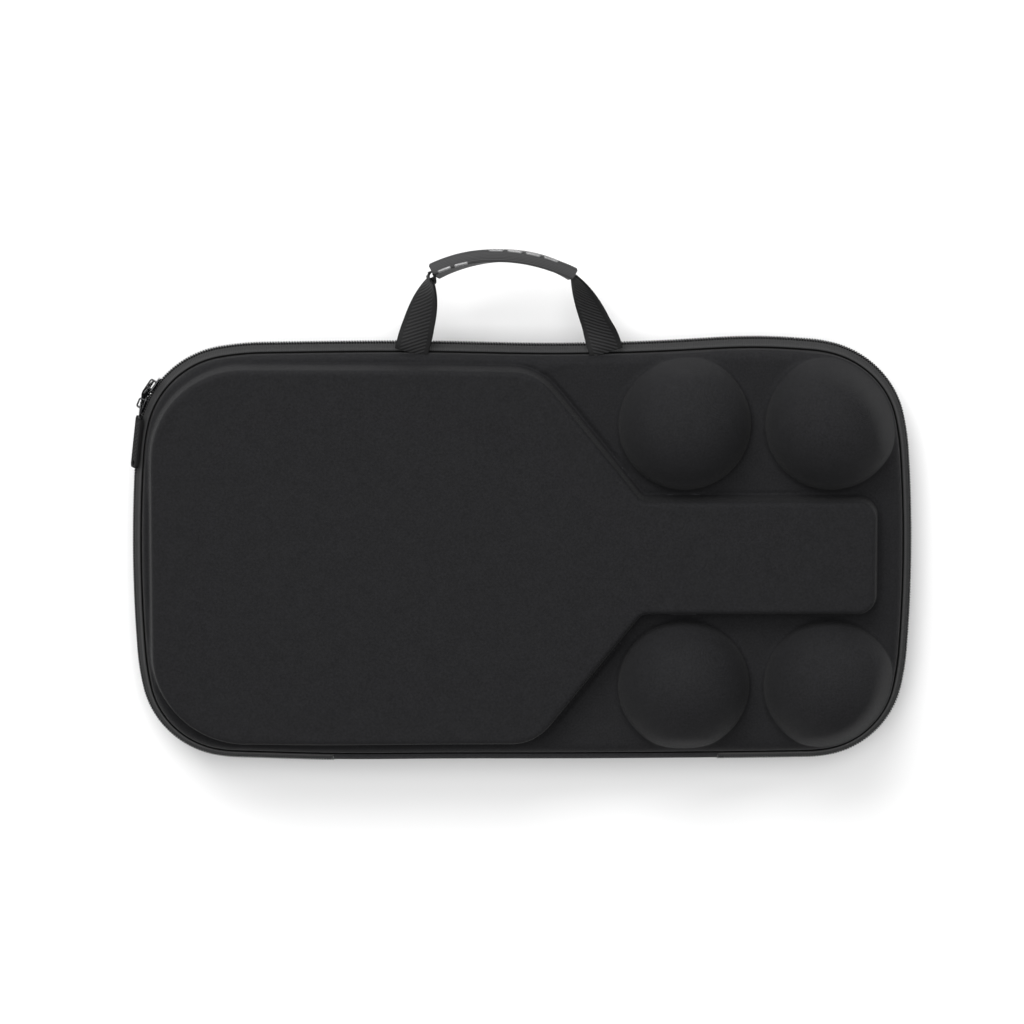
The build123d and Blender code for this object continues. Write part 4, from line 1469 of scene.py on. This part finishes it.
class Paint:
    """One procedural material, built up from sine threads, noise and attributes."""

    def __init__(self, name, roughness, specular, sheen=0.0, metallic=0.0, coat=0.0):
        self.material = bpy.data.materials.new(name)
        self.material.use_nodes = True
        self.nodes = self.material.node_tree.nodes
        self.links = self.material.node_tree.links
        self.shader = self.nodes["Principled BSDF"]
        self.shader.inputs["Roughness"].default_value = roughness
        self.shader.inputs["Specular IOR Level"].default_value = specular
        self.shader.inputs["Sheen Weight"].default_value = sheen
        self.shader.inputs["Sheen Roughness"].default_value = 0.4
        self.shader.inputs["Metallic"].default_value = metallic
        self.shader.inputs["Coat Weight"].default_value = coat
        self.shader.inputs["Coat Roughness"].default_value = 0.08
        self.place = self.nodes.new("ShaderNodeTexCoord").outputs["Object"]
        self.height = None

    def value(self, name):
        """An attribute of the mesh, in millimetres."""
        node = self.nodes.new("ShaderNodeAttribute")
        node.attribute_name = name
        return node.outputs["Fac"]

    def axis(self, *weights):
        """Distance in millimetres along a direction in space."""
        node = self.nodes.new("ShaderNodeVectorMath")
        node.operation = "DOT_PRODUCT"
        self.links.new(self.place, node.inputs[0])
        node.inputs[1].default_value = [weight / MM for weight in weights]
        return node.outputs["Value"]

    def math(self, operation, first, second=0.0):
        """Two numbers or sockets put together."""
        node = self.nodes.new("ShaderNodeMath")
        node.operation = operation
        for socket, value in zip(node.inputs, (first, second)):
            if isinstance(value, (int, float)):
                socket.default_value = value
            else:
                self.links.new(value, socket)
        return node.outputs["Value"]

    def threads(self, distance, pitch):
        """A wave that rises once in each pitch, in millimetres."""
        return self.math("SINE", self.math("MULTIPLY", distance, 2 * math.pi / pitch))

    def noise(self, size, detail=2.0):
        """Soft noise with lumps of this size in millimetres."""
        node = self.nodes.new("ShaderNodeTexNoise")
        node.inputs["Scale"].default_value = 1 / (size * MM)
        node.inputs["Detail"].default_value = detail
        self.links.new(self.place, node.inputs["Vector"])
        return node.outputs["Fac"]

    def raise_by(self, height, millimetres):
        """Adds a pattern to the bump."""
        term = self.math("MULTIPLY", height, millimetres * MM)
        self.height = term if self.height is None else self.math("ADD", self.height, term)

    def colour(self, base, *patterns):
        """Base colour made lighter and darker by (pattern, share) pairs."""
        factor = 1.0
        for pattern, share in patterns:
            factor = self.math("ADD", factor, self.math("MULTIPLY", pattern, share))
        tint = self.nodes.new("ShaderNodeVectorMath")
        tint.operation = "SCALE"
        tint.inputs[0].default_value = base
        self.links.new(factor, tint.inputs["Scale"])
        self.links.new(tint.outputs["Vector"], self.shader.inputs["Base Color"])

    def done(self):
        """The finished material, with its bump linked."""
        if self.height is not None:
            bump = self.nodes.new("ShaderNodeBump")
            bump.inputs["Distance"].default_value = 1.0
            self.links.new(self.height, bump.inputs["Height"])
            self.links.new(bump.outputs["Normal"], self.shader.inputs["Normal"])
        return self.material


def woven(name, base, pitch, depth, roughness=0.8, sheen=0.03, specular=0.12, mottle=0.55):
    """Plain weave that runs over flat and upright faces alike, with a soft mottle."""
    paint = Paint(name, roughness, specular, sheen)
    warp = paint.threads(paint.axis(1.0, 0.0, 0.7), pitch)
    weft = paint.threads(paint.axis(0.0, 1.0, 0.7), pitch)
    weave = paint.math("MULTIPLY", warp, weft)
    fine = paint.math("SUBTRACT", paint.noise(1.1), 0.5)
    broad = paint.math("SUBTRACT", paint.noise(9.0, 3.0), 0.5)
    paint.raise_by(weave, depth)
    paint.raise_by(fine, depth * 1.5)
    paint.colour(base, (weave, 0.12), (fine, mottle * 2), (broad, mottle / 2))
    return paint.done()


def ribbed(name, base, attribute, pitch, depth, roughness=0.7, sheen=0.03, specular=0.15, other=None):
    """Cloth with ribs across an attribute of the mesh, and finer threads the other way."""
    paint = Paint(name, roughness, specular, sheen)
    ribs = paint.threads(paint.value(attribute), pitch)
    fine = paint.math("SUBTRACT", paint.noise(0.5), 0.5)
    paint.raise_by(ribs, depth)
    paint.raise_by(fine, depth)
    patterns = [(ribs, 0.2), (fine, 0.5)]
    if other:
        threads = paint.threads(paint.value(other), pitch / 2)
        paint.raise_by(threads, depth / 2)
        patterns.append((threads, 0.1))
    paint.colour(base, *patterns)
    return paint.done()


def satin(name, base, roughness, specular, metallic=0.0, coat=0.0, grain=0.5, depth=0.01, wear=0.15):
    """Metal or moulded plastic with a fine grain and slightly uneven colour."""
    paint = Paint(name, roughness, specular, 0.0, metallic, coat)
    fine = paint.math("SUBTRACT", paint.noise(grain), 0.5)
    broad = paint.math("SUBTRACT", paint.noise(grain * 12), 0.5)
    paint.raise_by(fine, depth)
    paint.colour(base, (fine, wear), (broad, wear * 2))
    return paint.done()


def grip_rubber():
    """Rubber with fine stripes along the grip, which the mesh only hints at."""
    paint = Paint("grip", 0.6, 0.3, 0.02)
    stripes = paint.threads(paint.value("across"), GRIP / GRIP_RIBS)
    fine = paint.math("SUBTRACT", paint.noise(0.8), 0.5)
    paint.raise_by(stripes, 0.05)
    paint.raise_by(fine, 0.02)
    paint.colour(GRIP_COLOUR, (stripes, 0.22), (fine, 0.25))
    return paint.done()


def knurled_rubber():
    """Moulded rubber, painted lighter on the knurl's tops and on the ring round its hole and darker in
    the grooves: painted highlight and painted shade.
    """
    paint = Paint("pull_tab", 0.8, 0.1)
    top = paint.math("DIVIDE", paint.value("raised"), KNURL_HEIGHT)
    fine = paint.math("SUBTRACT", paint.noise(0.4), 0.5)
    paint.raise_by(fine, 0.02)
    # painted highlight on the raised knurl and hole ring, painted shade in the grooves
    paint.colour(TAB_COLOUR, (top, 3.0), (fine, 0.4))
    return paint.done()


def twill_cloth():
    """Webbing: ribs that slant across it, each made of fine threads, with painted highlight on their
    crests and painted shade between them.
    """
    paint = Paint("webbing", 0.7, 0.2, 0.04)
    threads = paint.threads(paint.value("across"), 1.1)
    picks = paint.threads(paint.value("along"), 0.9)
    fine = paint.math("SUBTRACT", paint.noise(0.6), 0.5)
    weave = paint.math("MULTIPLY", threads, picks)
    paint.raise_by(weave, 0.06)
    paint.raise_by(fine, 0.05)
    aside = paint.math("ABSOLUTE", paint.value("across"))
    edge = paint.math("GREATER_THAN", aside, SELVEDGE * WEB_WIDTH / 2)
    ribs = paint.math("DIVIDE", paint.value("raised"), TWILL_HEIGHT)
    # rib crests painted lighter and troughs darker: painted light and shade of the twill's relief
    paint.colour(WEBBING_COLOUR, (weave, 0.5), (fine, 0.9), (edge, -0.35), (ribs, 0.8))
    return paint.done()


SHELL_COLOUR = (0.0103, 0.0103, 0.0112)
GRIP_COLOUR = (0.0285, 0.0285, 0.0293)
WEBBING_COLOUR = (0.0105, 0.0105, 0.0109)
TAB_COLOUR = (0.006, 0.006, 0.0062)

shell_cloth = woven("shell_cloth", SHELL_COLOUR, 0.8, 0.05)
lining_cloth = woven("lining_cloth", (0.03, 0.03, 0.033), 1.3, 0.08, 0.9, 0.15, 0.1, 0.5)
spine_cloth = woven("spine_cloth", (0.02, 0.02, 0.0215), 1.0, 0.07)
tape_cloth = ribbed("zip_tape", (0.027, 0.027, 0.0275), "along", 1.1, 0.09)
binding_cloth = ribbed("binding", (0.016, 0.016, 0.017), "along", 1.4, 0.1)
patch_cloth = ribbed("patch_tape", (0.016, 0.016, 0.017), "across", 1.2, 0.1)
elastic_cloth = ribbed("elastic", (0.022, 0.022, 0.024), "across", 2.2, 0.06, other="along")
net_thread = woven("net", (0.02, 0.02, 0.022), 0.4, 0.02, 0.6, 0.1, 0.3)
stitch_thread = woven("thread", (0.03, 0.03, 0.032), 0.3, 0.02, 0.5, 0.1, 0.4)
coil_plastic = satin("zip_coil", (0.014, 0.014, 0.0145), 0.45, 0.35)
webbing_cloth = twill_cloth()
grip_material = grip_rubber()
bead_plastic = satin("grip_bead", (0.14, 0.14, 0.142), 0.18, 0.6, coat=0.5, wear=0.6)
slider_metal = satin("slider_metal", (0.022, 0.022, 0.023), 0.2, 0.5, metallic=1.0, coat=0.3)
tab_rubber = knurled_rubber()
# near-black cloth for the coil's hidden core cord and for the seam cord, which stands for the seam's
# thread and paints the groove's shade
dark_cord_and_shade_cloth = woven("seam_thread_and_shade", (0.003, 0.003, 0.003), 0.5, 0.02, 0.9, 0.0, 0.03)


def settle(name, body, material, slot, *nodes):
    """Gives a finished piece its material and body, and hides the CAD nodes it stands for. The slot is
    not used.
    """
    thing = bpy.data.objects[name]
    thing.data.materials.clear()
    thing.data.materials.append(material)
    if body:
        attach(thing, body)
    if nodes:
        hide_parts(*nodes)
    return thing


def settle_half(half, pieces):
    """Settles the pieces of one half: name's ending, body, material, slot and the node's ending."""
    for ending, body, material, slot, *node in pieces:
        settle(f"{half}_{ending}", body, material, slot, *[f"{half}_{part}" for part in node])


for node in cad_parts.values():
    node.data.materials.clear()
    node.data.materials.append(shell_cloth)

for half, body in (("front", "lid"), ("back", "base")):
    settle_half(half, (
        ("shell_cloth", body, shell_cloth, "shell_cloth", "shell"),
        ("lining_cloth", body, lining_cloth, "lining_cloth", "lining"),
        ("zip_tape_cloth", body, tape_cloth, "zip_tape", "zip_tape"),
        ("zip_coil_wire", body, coil_plastic, "zip_coil", "zip_coil"),
        ("zip_coil_wire_cord", body, dark_cord_and_shade_cloth, "zip_coil"),
        ("seam_thread_and_shade", body, dark_cord_and_shade_cloth, "zip_tape"),
        ("binding_tape", body, binding_cloth, "binding", "binding"),
        ("binding_stitches", body, stitch_thread, "binding"),
    ))
for half in ("upper", "lower"):
    settle_half(half, (
        ("ball_net_threads", "lid", net_thread, "net", "ball_net"),
        ("net_border", "lid", binding_cloth, "binding"),
        ("net_hem_elastic", "lid", elastic_cloth, "elastic", "net_hem"),
        ("slider_metal", f"{half}_slider", slider_metal, "slider_metal", "slider"),
        ("pull_wire", f"{half}_pull", slider_metal, "slider_metal", "pull_link"),
        ("pull_grip", f"{half}_pull", tab_rubber, "pull_tab", "pull_tab"),
    ))
settle("zip_stops_metal", "base", slider_metal, "slider_metal", "zip_stops")
settle("paddle_strap_elastic", "base", elastic_cloth, "elastic", "paddle_strap")
settle("strap_patch_tape", "base", patch_cloth, "binding", "strap_patches")
settle("strap_patch_stitches", "base", stitch_thread, "binding")
settle("handle_grip_moulding", "handle", grip_material, "grip", "handle_grip")
settle("handle_grip_beads", "handle", bead_plastic, "grip")
settle(spine_piece.name, None, spine_cloth, "spine_cloth", "front_spine", "back_spine")
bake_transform(spine_piece)
settle(webbing_piece.name, None, webbing_cloth, "webbing", "handle_webbing")
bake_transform(webbing_piece)
